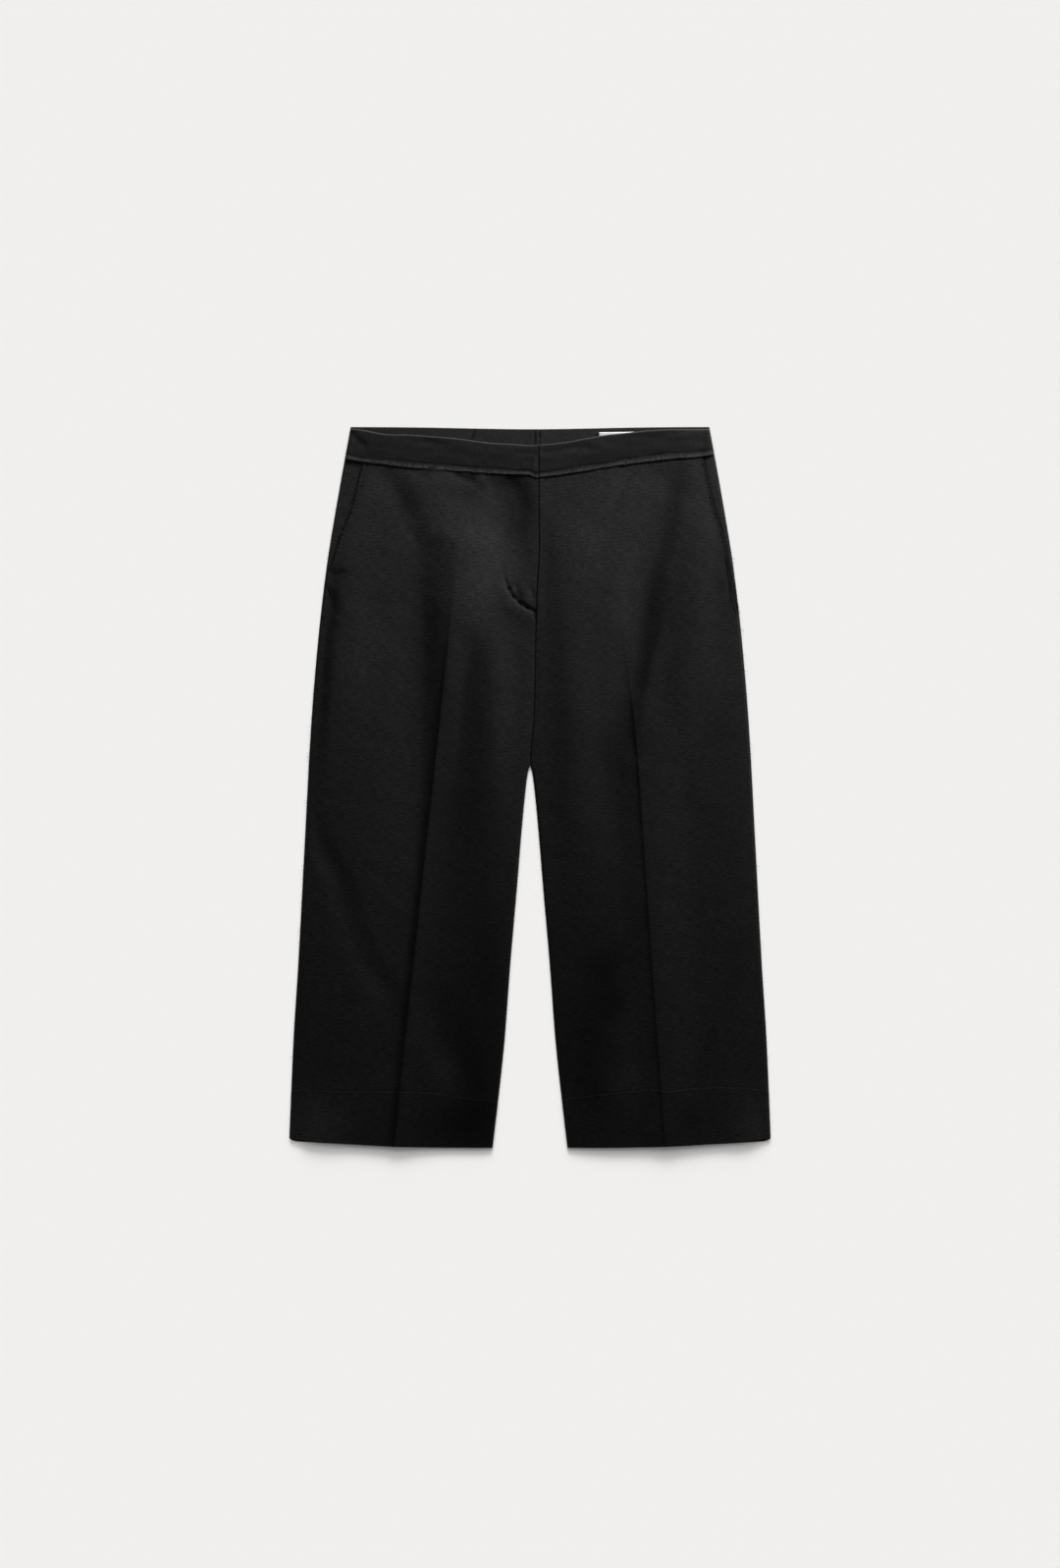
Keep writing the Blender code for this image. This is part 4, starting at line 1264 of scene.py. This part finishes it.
def on_front(side, x, down, proud=0.0001):
    """Points on a front's outer face, a little proud of it."""
    return grid_points(x, down, front_face(side, x, down) + proud)


def pocket_share(side, down):
    """1 beside the pocket opening, and 0 beside the side seam."""
    return 1.0 - ramp(down, side.pocket_end - 0.006, side.pocket_end)


def front_stations(side, down):
    """x of each column of a front, from its side edge over the crease to its inner edge."""
    outer = opening_x(side, down)
    crease = crease_x(side, down)
    inner = inner_x(side, down)
    press = np.array([5.0, 3.6, 2.6, 1.8, 1.1, 0.5, 0.0, -0.5, -1.1, -1.8, -2.6, -3.6, -5.0]) * MM
    to_crease = np.linspace(0.0, 1.0, 44)[1:-1]
    from_crease = np.linspace(0.0, 1.0, 40)[1:-1]
    first = outer - side.sign * EDGE_OFFSETS[-1]
    last = inner + side.sign * EDGE_OFFSETS[-1]
    before = crease + side.sign * press[0]
    beyond = crease + side.sign * press[-1]
    return np.concatenate([
        outer - side.sign * EDGE_OFFSETS,
        blend(first, before, to_crease),
        crease + side.sign * press,
        blend(beyond, last, from_crease),
        inner + side.sign * EDGE_OFFSETS[::-1],
    ], axis=-1)


def front_painted_shading(side, x, down, level, from_side, from_inner):
    """Painted light and shade on the cloth of a front at each point."""
    at_pocket = pocket_share(side, down)
    tone = np.ones_like(x)
    for zone in PAINTED_TONE_ZONES:
        if zone.x * side.sign > 0.0:
            tone = tone + zone.tone * in_zone(zone, x, down)
    # Painted shade along the lines of SHADED_LINES.
    line_painted_shade = np.zeros_like(x)
    for line in SHADED_LINES:
        if line.x0 * side.sign > 0.0:
            line_painted_shade = np.minimum(line_painted_shade, line.tone * beside_line(line, x, down))
    tone = tone * (1.0 + line_painted_shade)

    # Painted light: lighter lines on the hem's stitch line, beside the side seam and at the hem's edge.
    uneven = 0.5 + 0.5 * waves(x, down, 0.007, 51)
    hem_shows = 1.0 - 0.6 * ramp(-x, 0.140, 0.165) * (side is RIGHT)
    painted_light = 0.9 * near(level - HEM_LINE - 0.0003, 0.0006) * (0.5 + uneven) * hem_shows
    painted_light = painted_light + 0.5 * near(from_side - 0.0022, 0.0006) * (1.0 - at_pocket) * uneven
    painted_light = painted_light + 0.5 * np.exp(-(LENGTH - level) / 0.0008)
    # On the wearer's right, painted light along the side edge, where its rolled edge would lie in shade.
    if side is RIGHT:
        rim = 0.8 * np.exp(-from_side / 0.0022) * (1.0 - ramp(down, 0.22, 0.28))
        painted_light = painted_light + rim * (1.0 - at_pocket)

    # Painted shade: a dark line beside the crease, the centre seam and the hem's stitch line, and a
    # painted shadow under the band's raw strip.
    past_crease = x - crease_x(side, down)
    creased = ramp(down, *PRESS_BEGINS[side.name])
    sharpest = 0.14 * near(down - 0.350, 0.060)
    shaded = (0.50 + sharpest) * np.exp(-np.abs(past_crease + 0.0004) / 0.0013) * creased
    shaded = shaded + 0.30 * near(past_crease + 0.0042, 0.0040) * creased * (side is RIGHT)
    centre_line = 0.0004 if side is RIGHT else 0.0006
    shaded = shaded + 0.4 * near(from_inner - centre_line, 0.0010) * (1.0 - below_crotch(down))
    ragged = 0.5 + 0.5 * waves(x, 0.0 * x, 0.011, 53)
    strip_painted_shadow = near(down - waist_down(side, "raw", x) - 0.0006, 0.0009 + 0.0005 * ragged)
    shaded = shaded + (0.65 + 0.35 * ragged) * strip_painted_shadow * ramp(x, -0.192, -0.186)
    shaded = shaded + 0.35 * near(level - HEM_LINE + 0.0012, 0.0008) * uneven

    # Painted light on the turned edge of the pocket opening on the wearer's right, painted shade on the
    # left.
    if side is RIGHT:
        painted_light = painted_light + 0.9 * near(from_side, 0.0014) * at_pocket
    else:
        shaded = shaded + (0.70 + 0.30 * uneven) * near(from_side, 0.0011 + 0.0010 * uneven) * at_pocket
    return tone * (1.0 + painted_light) * np.clip(1.0 - shaded, 0.08, 1.0)


def front_leg(side):
    top = waist_down(side, "stitch", front_stations(side, np.array([BACK_BAND_DEPTH]))) + RAW_EDGE_LAP
    stitch = hem_stitch_down(side, front_stations(side, np.array([HEM_LINE])))
    foot = hem_down(front_stations(side, np.array([LENGTH])))
    first = float(np.min(top))
    rows = thread_rows(
        [first, 0.142, 0.206, CROTCH_DOWN, HEM_LINE - 0.0035, HEM_LINE + 0.0035, LENGTH - 0.003],
        [FRONT_ROW, FINE_ROW, FRONT_ROW, FRONT_ROW, HEM_ROW, FRONT_ROW],
    )
    rows = np.concatenate([rows, LENGTH - HEM_OFFSETS[::-1]])
    down = row_down(rows[:, None], top[None, :], stitch[None, :], foot[None, :])
    x = np.stack([front_stations(side, down[:, [i]])[:, i] for i in range(down.shape[1])], -1)
    if side is LEFT:
        # The last two columns run in under the wearer's right front at the fly.
        x[:, -1] -= lap_width(down[:, -1])
        x[:, -2] -= lap_width(down[:, -2]) * 0.5
    level = rows[:, None] + 0.0 * x
    from_side = side.sign * (opening_x(side, down) - x)
    from_inner = side.sign * (x - inner_x(side, down))
    at_pocket = pocket_share(side, down)
    below = below_crotch(down)
    seam = seam_height(level)

    height = front_face(side, x, down)
    # The hem's blind stitching draws the cloth in a little, with a fine raised line beside it.
    height = height - 0.00022 * near(level - HEM_LINE + 0.0014, 0.0008)
    height = height + 0.00028 * near(level - HEM_LINE - 0.0002, 0.0008)
    lining = height - blend(CLOTH_WALL, HEM_WALL, ramp(level, HEM_LINE - 0.0008, HEM_LINE + 0.0008))
    # Side seam, or the turned edge of the pocket opening above it.
    seam_roll = roll(from_side, SIDE_ROLL)
    seam_outer = blend(seam + SEAM_LIP, height, seam_roll)
    seam_inner = blend(seam + SEAM_SLIT, lining, seam_roll)
    pocket_inner = np.where(from_side < POCKET_TUCK, height - FOLD_DROP, lining)
    outer_face = blend(seam_outer, height - edge_drop(FOLD_DROP, from_side, 0.0009), at_pocket)
    inner_face = blend(seam_inner, pocket_inner, at_pocket)
    # Inner leg seam below the crotch and centre seam above it. On the wearer's right, the fly's turned edge.
    leg_roll = roll(from_inner, INNER_ROLL)
    leg_outer = blend(seam + SEAM_LIP, outer_face, leg_roll)
    leg_inner = blend(seam + SEAM_SLIT, inner_face, leg_roll)
    centre_outer = outer_face - edge_drop(FOLD_DROP, from_inner, 0.0014)
    if side is LEFT:
        above_foot = 1.0 - ramp(down, FLY_FOOT_DOWN, FLY_FOOT_DOWN + 0.006)
        centre_outer = blend(centre_outer, outer_face, above_foot)
    outer_face = blend(centre_outer, leg_outer, below)
    inner_face = blend(inner_face, leg_inner, below)
    # The hem's fold.
    hem_fold = edge_drop(FOLD_DROP, LENGTH - level, 0.0010)
    outer_face = outer_face - hem_fold
    inner_face = np.minimum(inner_face + hem_fold, outer_face - LEAST_WALL)

    piece = sew_panel(
        "front_leg_" + side.name,
        grid_points(x, down, outer_face),
        grid_points(x, down, inner_face),
        side.grain,
        shade=front_painted_shading(side, x, down, level, from_side, from_inner),
    )
    piece.data.materials.append(leg_cloth)
    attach(piece, "root")
    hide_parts("front_" + side.name)
    return piece


# The edges of the pocket openings are frayed, and a few loose threads stick out along the side seams.
FRAY_TUFT = 0.0013
SIDE_WHISKER = 0.0022
FRAYED_SEAM = {"right": (0.262, 0.548), "left": (0.128, 0.216)}


def fray_tree():
    """Loose threads along each line. The "throw" attribute gives the way and the length of each one."""
    tree = empty_tree("loose_threads", (
        ("Spacing", "Float"),
        ("Share", "Float"),
        ("Thinness", "Float"),
        ("Bend", "Float"),
        ("Spin", "Float"),
        ("Stray", "Float"),
        ("Unevenness", "Float"),
        ("Clumping", "Float"),
        ("Seed", "Int"),
        ("Material", "Material"),
    ))
    given = put(tree, "NodeGroupInput").outputs
    seed = given["Seed"]
    roots = spaced_points(tree, given, given["Spacing"])
    tip = put(tree, "ShaderNodeCombineXYZ", [("X", given["Bend"]), ("Z", 0.96)])
    spine = put(tree, "GeometryNodeCurveQuadraticBezier", [
        ("Resolution", 3),
        ("Start", (0.0, 0.0, 0.0)),
        ("Middle", (0.0, 0.0, 0.55)),
        ("End", tip.outputs[0]),
    ])
    section = put(tree, "GeometryNodeCurvePrimitiveCircle", [
        ("Resolution", 3),
        ("Radius", given["Thinness"]),
    ])
    thread = put(
        tree,
        "GeometryNodeCurveToMesh",
        [("Curve", spine.outputs[0]), ("Profile Curve", section.outputs[0]), ("Fill Caps", True)],
    )
    attribute = put(
        tree,
        "GeometryNodeInputNamedAttribute",
        [("Name", "throw")],
        data_type="FLOAT_VECTOR",
    )
    throw = attribute.outputs[0]
    reach = put(tree, "ShaderNodeVectorMath", [(0, throw)], operation="LENGTH").outputs["Value"]
    drift = put(tree, "ShaderNodeCombineXYZ", [
        ("X", chance(tree, seed, 1, -1.0, 1.0)),
        ("Y", chance(tree, seed, 2, -1.0, 1.0)),
        ("Z", chance(tree, seed, 3, -0.35, 0.35)),
    ])
    stray = put(
        tree,
        "ShaderNodeVectorMath",
        [(0, drift.outputs[0]), ("Scale", number(tree, "MULTIPLY", reach, given["Stray"]))],
        operation="SCALE",
    )
    way = put(tree, "ShaderNodeVectorMath", [(0, throw), (1, stray.outputs[0])], operation="ADD")
    aim = put(tree, "FunctionNodeAlignRotationToVector", [("Vector", way.outputs[0])], axis="Z")
    spin = number(tree, "MULTIPLY", chance(tree, seed, 4, -1.0, 1.0), given["Spin"])
    spun = put(tree, "ShaderNodeCombineXYZ", [("Z", spin)])
    own_turn = put(tree, "FunctionNodeEulerToRotation", [(0, spun.outputs[0])])
    tufts = put(tree, "ShaderNodeTexNoise", [("Scale", 260.0), ("Detail", 1.0)])
    tuft = number(tree, "SUBTRACT", tufts.outputs["Fac"], 0.5)
    clump = number(tree, "MULTIPLY", tuft, given["Clumping"])
    uneven = number(tree, "MULTIPLY", chance(tree, seed, 5, -1.0, 1.0), given["Unevenness"])
    length = number(tree, "MAXIMUM", number(tree, "ADD", number(tree, "ADD", clump, uneven), 1.0), 0.12)
    picked = number(tree, "LESS_THAN", chance(tree, seed, 6, 0.0, 1.0), given["Share"])
    frayed = put(tree, "GeometryNodeInstanceOnPoints", [
        ("Points", roots),
        ("Selection", picked),
        ("Instance", thread.outputs[0]),
        ("Rotation", turn_in_place(tree, aim, own_turn)),
        ("Scale", number(tree, "MULTIPLY", reach, length)),
    ])
    return finish_tree(tree, given, frayed)


loose_threads = fray_tree()
dark_fray = yarn("dark_loose_thread", (0.0020, 0.0020, 0.0022), (0.024, 0.024, 0.0245))
# These threads are coloured paler than the cloth: painted light, where frayed threads catch the lamp.
light_fray = yarn("pale_loose_thread_painted_light", (0.012, 0.012, 0.0125), (0.060, 0.060, 0.061))


def pocket_fray(side):
    """Tufts on both sides of a pocket opening, and whiskers along the side seam."""
    down = np.linspace(0.034, side.pocket_end + 0.004, 80)
    edge = opening_x(side, down)
    inside = edge - side.sign * 0.0007
    low = front_face(side, inside, down) - 0.0006
    outward = side.sign * FRAY_TUFT + 0.0 * down
    swing = 0.0004 * waves(down, 0.0 * down, 0.009, 61)
    # Whiskers stand along the whole side seam, and much closer together where it is frayed most.
    seam_lines = []
    for start, end in ((0.060, LENGTH - 0.020), FRAYED_SEAM[side.name], FRAYED_SEAM[side.name]):
        seam_down = np.linspace(start, end, 120) + 0.0006 * len(seam_lines)
        seam_edge = side_x(side, seam_down) - side.sign * 0.0003
        seam_lines.append(grid_points(seam_edge, seam_down, SEAM_HEIGHT + 0.0004 + 0.0 * seam_down))
    tufts = grow_along(
        "pocket_tufts_" + side.name,
        "cloth",
        [grid_points(inside, down, low), grid_points(inside, down, low + 0.0007)],
        loose_threads,
        Spacing=0.00042, Share=0.22 if side is RIGHT else 0.8, Thinness=0.07, Bend=0.25,
        Spin=math.pi, Stray=0.7, Unevenness=0.5, Clumping=2.6, Seed=11, Material=dark_fray,
        throws=[
            np.stack([outward, swing, 0.0 * down], -1),
            np.stack([-0.9 * outward, -swing, 0.0001 + 0.0 * down], -1),
        ],
    )
    lint_down = np.linspace(0.062, 0.138, 60)
    lint_edge = opening_x(side, lint_down)
    lint_lines = []
    for inset in (0.0015, 0.0040):
        lint_x = lint_edge - side.sign * inset
        lint_lines.append(on_front(side, lint_x, lint_down + 0.0001 * len(lint_lines), 0.0))
    lint = grow_along(
        "pocket_lint_" + side.name,
        "cloth",
        lint_lines,
        loose_threads,
        Spacing=0.0011, Share=0.30 if side is RIGHT else 0.12, Thinness=0.07, Bend=0.5,
        Spin=math.pi, Stray=1.6, Unevenness=0.5, Clumping=1.5, Seed=18, Material=light_fray,
        throws=[np.tile((0.0, 0.0016, 0.0006), (len(line), 1)) for line in lint_lines],
    )
    whiskers = grow_along(
        "side_whiskers_" + side.name,
        "cloth",
        seam_lines,
        loose_threads,
        Spacing=0.0021, Share=0.13, Thinness=0.035, Bend=0.35, Spin=math.pi, Stray=0.7,
        Unevenness=0.6, Clumping=1.0, Seed=12, Material=dark_fray,
        throws=[
            np.tile((side.sign * SIDE_WHISKER, 0.0, 0.0007), (len(line), 1)) for line in seam_lines
        ],
    )
    return [tufts, lint, whiskers]


# Sewing on the fronts: the rows beside each pocket opening, the fly's curved row, the second row of the
# centre seam, bar tacks where the openings and the fly end, and the hem's blind stitches.
PocketRow = namedtuple("PocketRow", "side inset start end")
POCKET_ROWS = (
    PocketRow("right", 0.8, 40.0, 150.0),
    PocketRow("right", 5.4, 40.0, 62.0),
    PocketRow("left", 0.7, 36.0, 140.0),
)
CENTRE_ROW_ASIDE = 0.0047

# A bar tack runs from one place to another, and its stitches lie across it.
Tack = namedtuple("Tack", "side x0 down0 x1 down1 width")
TACKS = (
    Tack("right", -209.4, 153.6, -199.6, 154.8, 3.2),
    Tack("right", -212.0, 171.0, -210.6, 179.0, 1.5),
    Tack("right", 4.6, 194.6, 5.0, 202.0, 1.5),
    Tack("left", 208.6, 143.0, 210.0, 157.0, 2.2),
    Tack("left", 210.4, 161.0, 212.2, 175.0, 2.2),
    Tack("left", 212.6, 178.0, 213.6, 185.0, 2.2),
    Tack("left", 215.4, 191.0, 217.8, 195.0, 2.2),
)


def front_sewing(side):
    rows = []
    for row in POCKET_ROWS:
        if row.side == side.name:
            down = np.linspace(row.start, row.end, 60) * MM
            row_x = opening_x(side, down) - side.sign * row.inset * MM
            rows.append(on_front(side, row_x, down, 0.00012))
    pocket_rows = grow_along("pocket_stitches_" + side.name, "cloth", rows, stitches,
        Pitch=0.0047, Length=0.0022, Width=0.0016, Height=0.0006, Unevenness=0.8, Seed=13,
        Material=black_thread,
    )
    hem_x = across_leg(side, HEM_LINE, 0.005, 90)
    hem_row = grow_along(
        "hem_stitches_" + side.name,
        "cloth",
        [on_front(side, hem_x, hem_stitch_down(side, hem_x), 0.00034)],
        stitches,
        Pitch=0.0031, Length=0.0023, Width=0.00038, Height=0.00028, Unevenness=0.5, Seed=14,
        Material=hem_thread,
    )
    tacks = [tack for tack in TACKS if tack.side == side.name]
    tack_rows = []
    for tack in tacks:
        tack_x = np.linspace(tack.x0, tack.x1, 12) * MM
        tack_down = np.linspace(tack.down0, tack.down1, 12) * MM
        tack_rows.append(on_front(side, tack_x, tack_down, 0.0002))
    bar_tacks = grow_along("bar_tacks_" + side.name, "cloth", tack_rows, stitches,
        Pitch=0.00045, Length=tacks[0].width * MM * 0.8, Width=0.0005, Height=0.0004,
        Turn=math.pi / 2.0, Unevenness=0.5, Seed=15, Material=black_thread,
    )
    sewn = [pocket_rows, hem_row, bar_tacks]
    if side is RIGHT:
        curve = [(dent.x0, dent.down0) for dent in DENTS[:6]] + [(DENTS[5].x1, DENTS[5].down1)]
        curve_x, curve_down = np.array(curve).T * MM
        steps = np.linspace(0.0, len(curve) - 1.0, 40)
        curve_x = np.interp(steps, np.arange(len(curve)), curve_x)
        curve_down = np.interp(steps, np.arange(len(curve)), curve_down)
        curve_row = on_front(side, curve_x, curve_down)
        sewn.append(grow_along("fly_curve_stitches", "cloth", [curve_row], stitches,
            Pitch=0.0027, Length=0.0021, Width=0.0005, Height=0.0003, Unevenness=0.4, Seed=16,
            Material=black_thread,
        ))
    else:
        seam_down = np.linspace(0.216, 0.300, 40)
        seam_row = on_front(side, seam_x(seam_down) + CENTRE_ROW_ASIDE, seam_down)
        sewn.append(grow_along("centre_seam_stitches", "cloth", [seam_row], stitches,
            Pitch=0.0027, Length=0.0022, Width=0.0004, Height=0.00025, Unevenness=0.4, Seed=17,
            Material=black_thread,
        ))
    return sewn


def front_width(side, down):
    return np.abs(opening_x(side, down) - inner_x(side, down))


for side in (RIGHT, LEFT):
    front_piece = front_leg(side)
    cut_area(lambda d: front_width(side, d), 0.040, LENGTH - HEM_SIDE_LIFT / 4.0)
    pocket_fray(side) + front_sewing(side)


# ---- Front waistband -----------------------------------------------------------------------------
# The front half of the band, doubled cloth with a rolled top edge. Its lower edge is cut raw and left
# to fray below the stitching. The wearer's right half laps over the left one.
BAND_OVER_FRONT = 0.0011
RAW_OVER_FRONT = 0.00012
RAW_LIFT = 0.00045
RAW_WALL = 0.00045
BAND_STATION = 0.0013

band_cloth = linen("black_band_linen", (0.0150, 0.0150, 0.0156), slub=0.30, relief=0.30)

# Small pulls in the band's cloth.
BAND_DENTS = measures(
    "x0 down0 x1 down1 reach rise",
    (-189, 7, -177, 19, 3.6, -0.9), (-112, 15, -92, 19, 4.5, -0.6), (-74, 20, -30, 26, 5, 0.3),
    (-40, 36, -14, 40, 4, -0.4), (-16, 27.6, 6, 28.8, 1.7, -0.4), (14, 27, 60, 22, 3.6, -0.7),
    (26, 36, 70, 31, 4, 0.1), (80, 14, 150, 9, 5, -0.5), (112, 26, 168, 20, 6, 0.3),
    (150, 12, 180, 8, 4, 0.4),
)

# Painted light and shade in soft places on the band: dark ones are painted shade, the light one painted
# light.
BAND_PAINTED_TONE_ZONES = measures(
    "x down across along tone",
    (-187, 9, 4, 4, -0.40), (-180, 16.5, 5, 5, -0.40), (-190, 23, 6, 9, 0.30),
    (-108, 14, 12, 3.2, -0.40), (-98, 18, 5, 6, -0.28), (-84, 24, 40, 14, -0.10),
    (-24, 38, 30, 8, -0.18), (84, 33, 24, 7, -0.34), (124, 14, 32, 8, -0.36),
)


def band_face(side, x, down):
    """Outer face of the front band above its stitching, and level with it below."""
    stitch = waist_down(side, "stitch", x)
    over_front = front_height(side, x, stitch) + BAND_OVER_FRONT
    inward = side.sign * (side_x(side, down) - x)
    level = blend(0.0050, over_front, ramp(inward, 0.0, 0.012))
    return level - lap_drop(side, x, down + 0.0 * x)


def front_band(side):
    guess_edge = float(side_x(side, BACK_BAND_DEPTH))
    guess_seam = float(inner_x(side, BACK_BAND_DEPTH))
    span = abs(guess_edge - guess_seam)
    inner_offsets = np.array([4.4, 3.4, 2.5, 1.7, 1.0, 0.5, 0.15, 0.0]) * MM
    count = int(span / BAND_STATION)
    inward = np.concatenate([
        EDGE_OFFSETS / span,
        np.linspace(EDGE_OFFSETS[-1] / span, 1.0 - inner_offsets[0] / span, count)[1:-1],
        1.0 - inner_offsets / span,
    ])
    guess = blend(guess_edge, guess_seam, inward)
    top = waist_down(side, "top", guess)
    stitch = waist_down(side, "stitch", guess)
    draw = np.random.RandomState(31 if side is RIGHT else 32)
    nicks = np.convolve(draw.uniform(-1.0, 1.0, len(guess)), (0.25, 0.5, 0.25), "same") * 0.0004
    raw = waist_down(side, "raw", guess) + nicks
    depth = np.array([0.0, 0.1, 0.35, 0.7, 1.1, 1.8, 2.8]) * MM
    above = np.linspace(0.0, 1.0, 16)[1:]
    lines = [top + offset for offset in depth]
    lines += [blend(top + depth[-1], stitch - 0.0011, share) for share in above]
    lines += [stitch + offset * MM for offset in (-0.7, -0.35, 0.0, 0.35, 0.7)]
    lines += [blend(stitch + 0.0011, raw, share) for share in (0.0, 0.3, 0.6, 0.85, 1.0)]
    down = np.stack(lines)
    x = blend(side_x(side, down), inner_x(side, down), inward[None, :])
    from_top = down - waist_down(side, "top", x)
    from_stitch = down - waist_down(side, "stitch", x)
    from_side = side.sign * (side_x(side, down) - x)
    from_seam = side.sign * (x - inner_x(side, down))
    raw_share = np.clip(from_stitch / np.maximum(raw - stitch, 0.001)[None, :], 0.0, 1.0)
    face = band_face(side, x, down)
    for dent in BAND_DENTS:
        if dent.x0 * side.sign > 0.0:
            face = face + dent.rise * MM * beside_line(dent, x, down)
    ripple = 0.00022 * waves(x * 0.35, down, 0.011, 41) * ramp(from_top, 0.0, 0.005)
    face = face + ripple * (from_stitch < 0.0)
    face = face + 0.00035 * np.sin(np.clip(from_top / (from_top - from_stitch), 0.0, 1.0) * math.pi)
    upper = face - edge_drop(0.0010, from_top, 0.0011)
    drawn_in = 0.00038 * (0.2 + 0.8 * ramp(x, -0.165, -0.125))
    upper = upper - drawn_in * near(from_stitch + 0.0001, 0.0006)
    flutter = 0.5 + 0.5 * waves(x, 0.0 * x, 0.014, 43)
    strip = front_height(side, x, down) - lap_drop(side, x, down) + RAW_OVER_FRONT + RAW_WALL
    upper = blend(upper, strip + RAW_LIFT * raw_share * (0.3 + flutter), ramp(raw_share, 0.0, 0.35))
    under = np.where(from_stitch > 0.0006, upper - RAW_WALL, face - BAND_WALL)
    under = under + edge_drop(0.0010, from_top, 0.0011) * (from_stitch < 0.0)
    side_roll = roll(from_side, 0.0040)
    upper = blend(0.0029, upper, side_roll)
    under = blend(0.0026, under, side_roll)
    if side is RIGHT:
        upper = upper - edge_drop(0.0004, from_seam, 0.0010)
    under = np.minimum(under, upper - LEAST_WALL)
    # Painted highlight along the rolled top edge. The wearer's left half starts a little darker.
    tone = (1.0 if side is RIGHT else 0.93) + 2.6 * near(from_top - 0.0005, 0.0008)
    for zone in BAND_PAINTED_TONE_ZONES:
        tone = tone + zone.tone * in_zone(zone, x, down)
    tone = np.maximum(tone, 0.15)
    # Painted light on the raw strip, where its frayed edge catches the lamp.
    tone = tone + np.minimum(raw_share * 2.0, 1.0) * (2.0 + 0.7 * waves(x, 0.4 * down, 0.009, 44))
    if side is RIGHT:
        # On the wearer's right: a painted highlight on the lapping end's edge, painted shade in the gap by
        # it, and painted light along the side edge.
        lap_light = near(down - 0.0375, 0.0080)
        tone = tone + 0.8 * near(from_seam - 0.0024, 0.0016) * lap_light
        tone = tone * (1.0 - 0.35 * np.exp(-from_seam / 0.0012) * (1.0 - lap_light))
        tone = tone * (1.0 + 0.8 * np.exp(-from_side / 0.0022))
    piece = sew_panel(
        "front_band_" + side.name,
        grid_points(x, down, upper),
        grid_points(x, down, under),
        turn=True,
        shade=tone,
    )
    piece.data.materials.append(band_cloth)
    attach(piece, "root")
    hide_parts("waistband_front_" + side.name)
    sewn_row = len(depth) + len(above) + 2
    first_raw_row = len(depth) + len(above) + 5
    sewn_line = grid_points(x[sewn_row], down[sewn_row], upper[sewn_row] + 0.00010)
    root = first_raw_row
    fringe_roots = grid_points(x[root], down[root] - 0.0006, upper[root] + 0.00006)
    fringe_tips = grid_points(x[-1], down[-1] + 0.0004, upper[-1] + 0.00010)
    raw_edge = grid_points(x[-1], down[-1] - 0.0002, upper[-1] - 0.00015)
    return piece, sewn_line, fringe_roots, fringe_tips, raw_edge


# A short dark stitch at the lap's end.
LAP_STITCH = np.linspace(0.0052, 0.0086, 6)
LAP_STITCH_DOWN = 0.0292


def band_sewing(side, sewn_line, fringe_roots, fringe_tips, raw_edge):
    """The band's stitching, the threads that lie over its raw strip and the ragged ones below it."""
    row = grow_along("band_stitches_" + side.name, "cloth", [sewn_line], stitches,
        Pitch=0.0028, Length=0.0022, Width=0.00040, Height=0.0003, Unevenness=0.4, Seed=21,
        Material=hem_thread,
    )
    sewn = [row]
    if side is RIGHT:
        end_down = LAP_STITCH_DOWN + 0.0 * LAP_STITCH
        sewn.append(grow_along(
            "lap_end_stitch",
            "cloth",
            [grid_points(LAP_STITCH, end_down, band_face(side, LAP_STITCH, end_down) + 0.0004)],
            stitches,
            Pitch=0.0008, Length=0.0010, Width=0.0010, Height=0.0006, Unevenness=0.3, Seed=24,
            Material=black_thread,
        ))
    fringe = grow_along(
        "band_fringe_" + side.name,
        "cloth",
        [fringe_roots],
        loose_threads,
        Spacing=0.00052, Share=0.12, Thinness=0.024, Bend=0.06, Spin=0.5, Stray=0.10,
        Unevenness=0.18, Clumping=0.5, Seed=22, Material=light_fray,
        throws=[fringe_tips - fringe_roots],
    )
    ragged = grow_along(
        "band_ragged_edge_" + side.name,
        "cloth",
        [raw_edge],
        loose_threads,
        Spacing=0.0006, Share=0.3, Thinness=0.08, Bend=0.3, Spin=math.pi, Stray=0.5,
        Unevenness=0.4, Clumping=2.0, Seed=23, Material=dark_fray,
        throws=[np.tile((0.0, -0.0008, -0.0001), (len(raw_edge), 1))],
    )
    return sewn + [fringe, ragged]


for side in (RIGHT, LEFT):
    band_piece, *band_lines = front_band(side)
    band_x = np.linspace(0.0, abs(float(side_x(side, BACK_BAND_DEPTH))), 200)
    band_depth = float(np.mean(waist_down(side, "raw", band_x) - waist_down(side, "top", band_x)))
    band_width = abs(float(side_x(side, 0.02)) - float(inner_x(side, 0.02)))
    band_sewing(side, *band_lines)
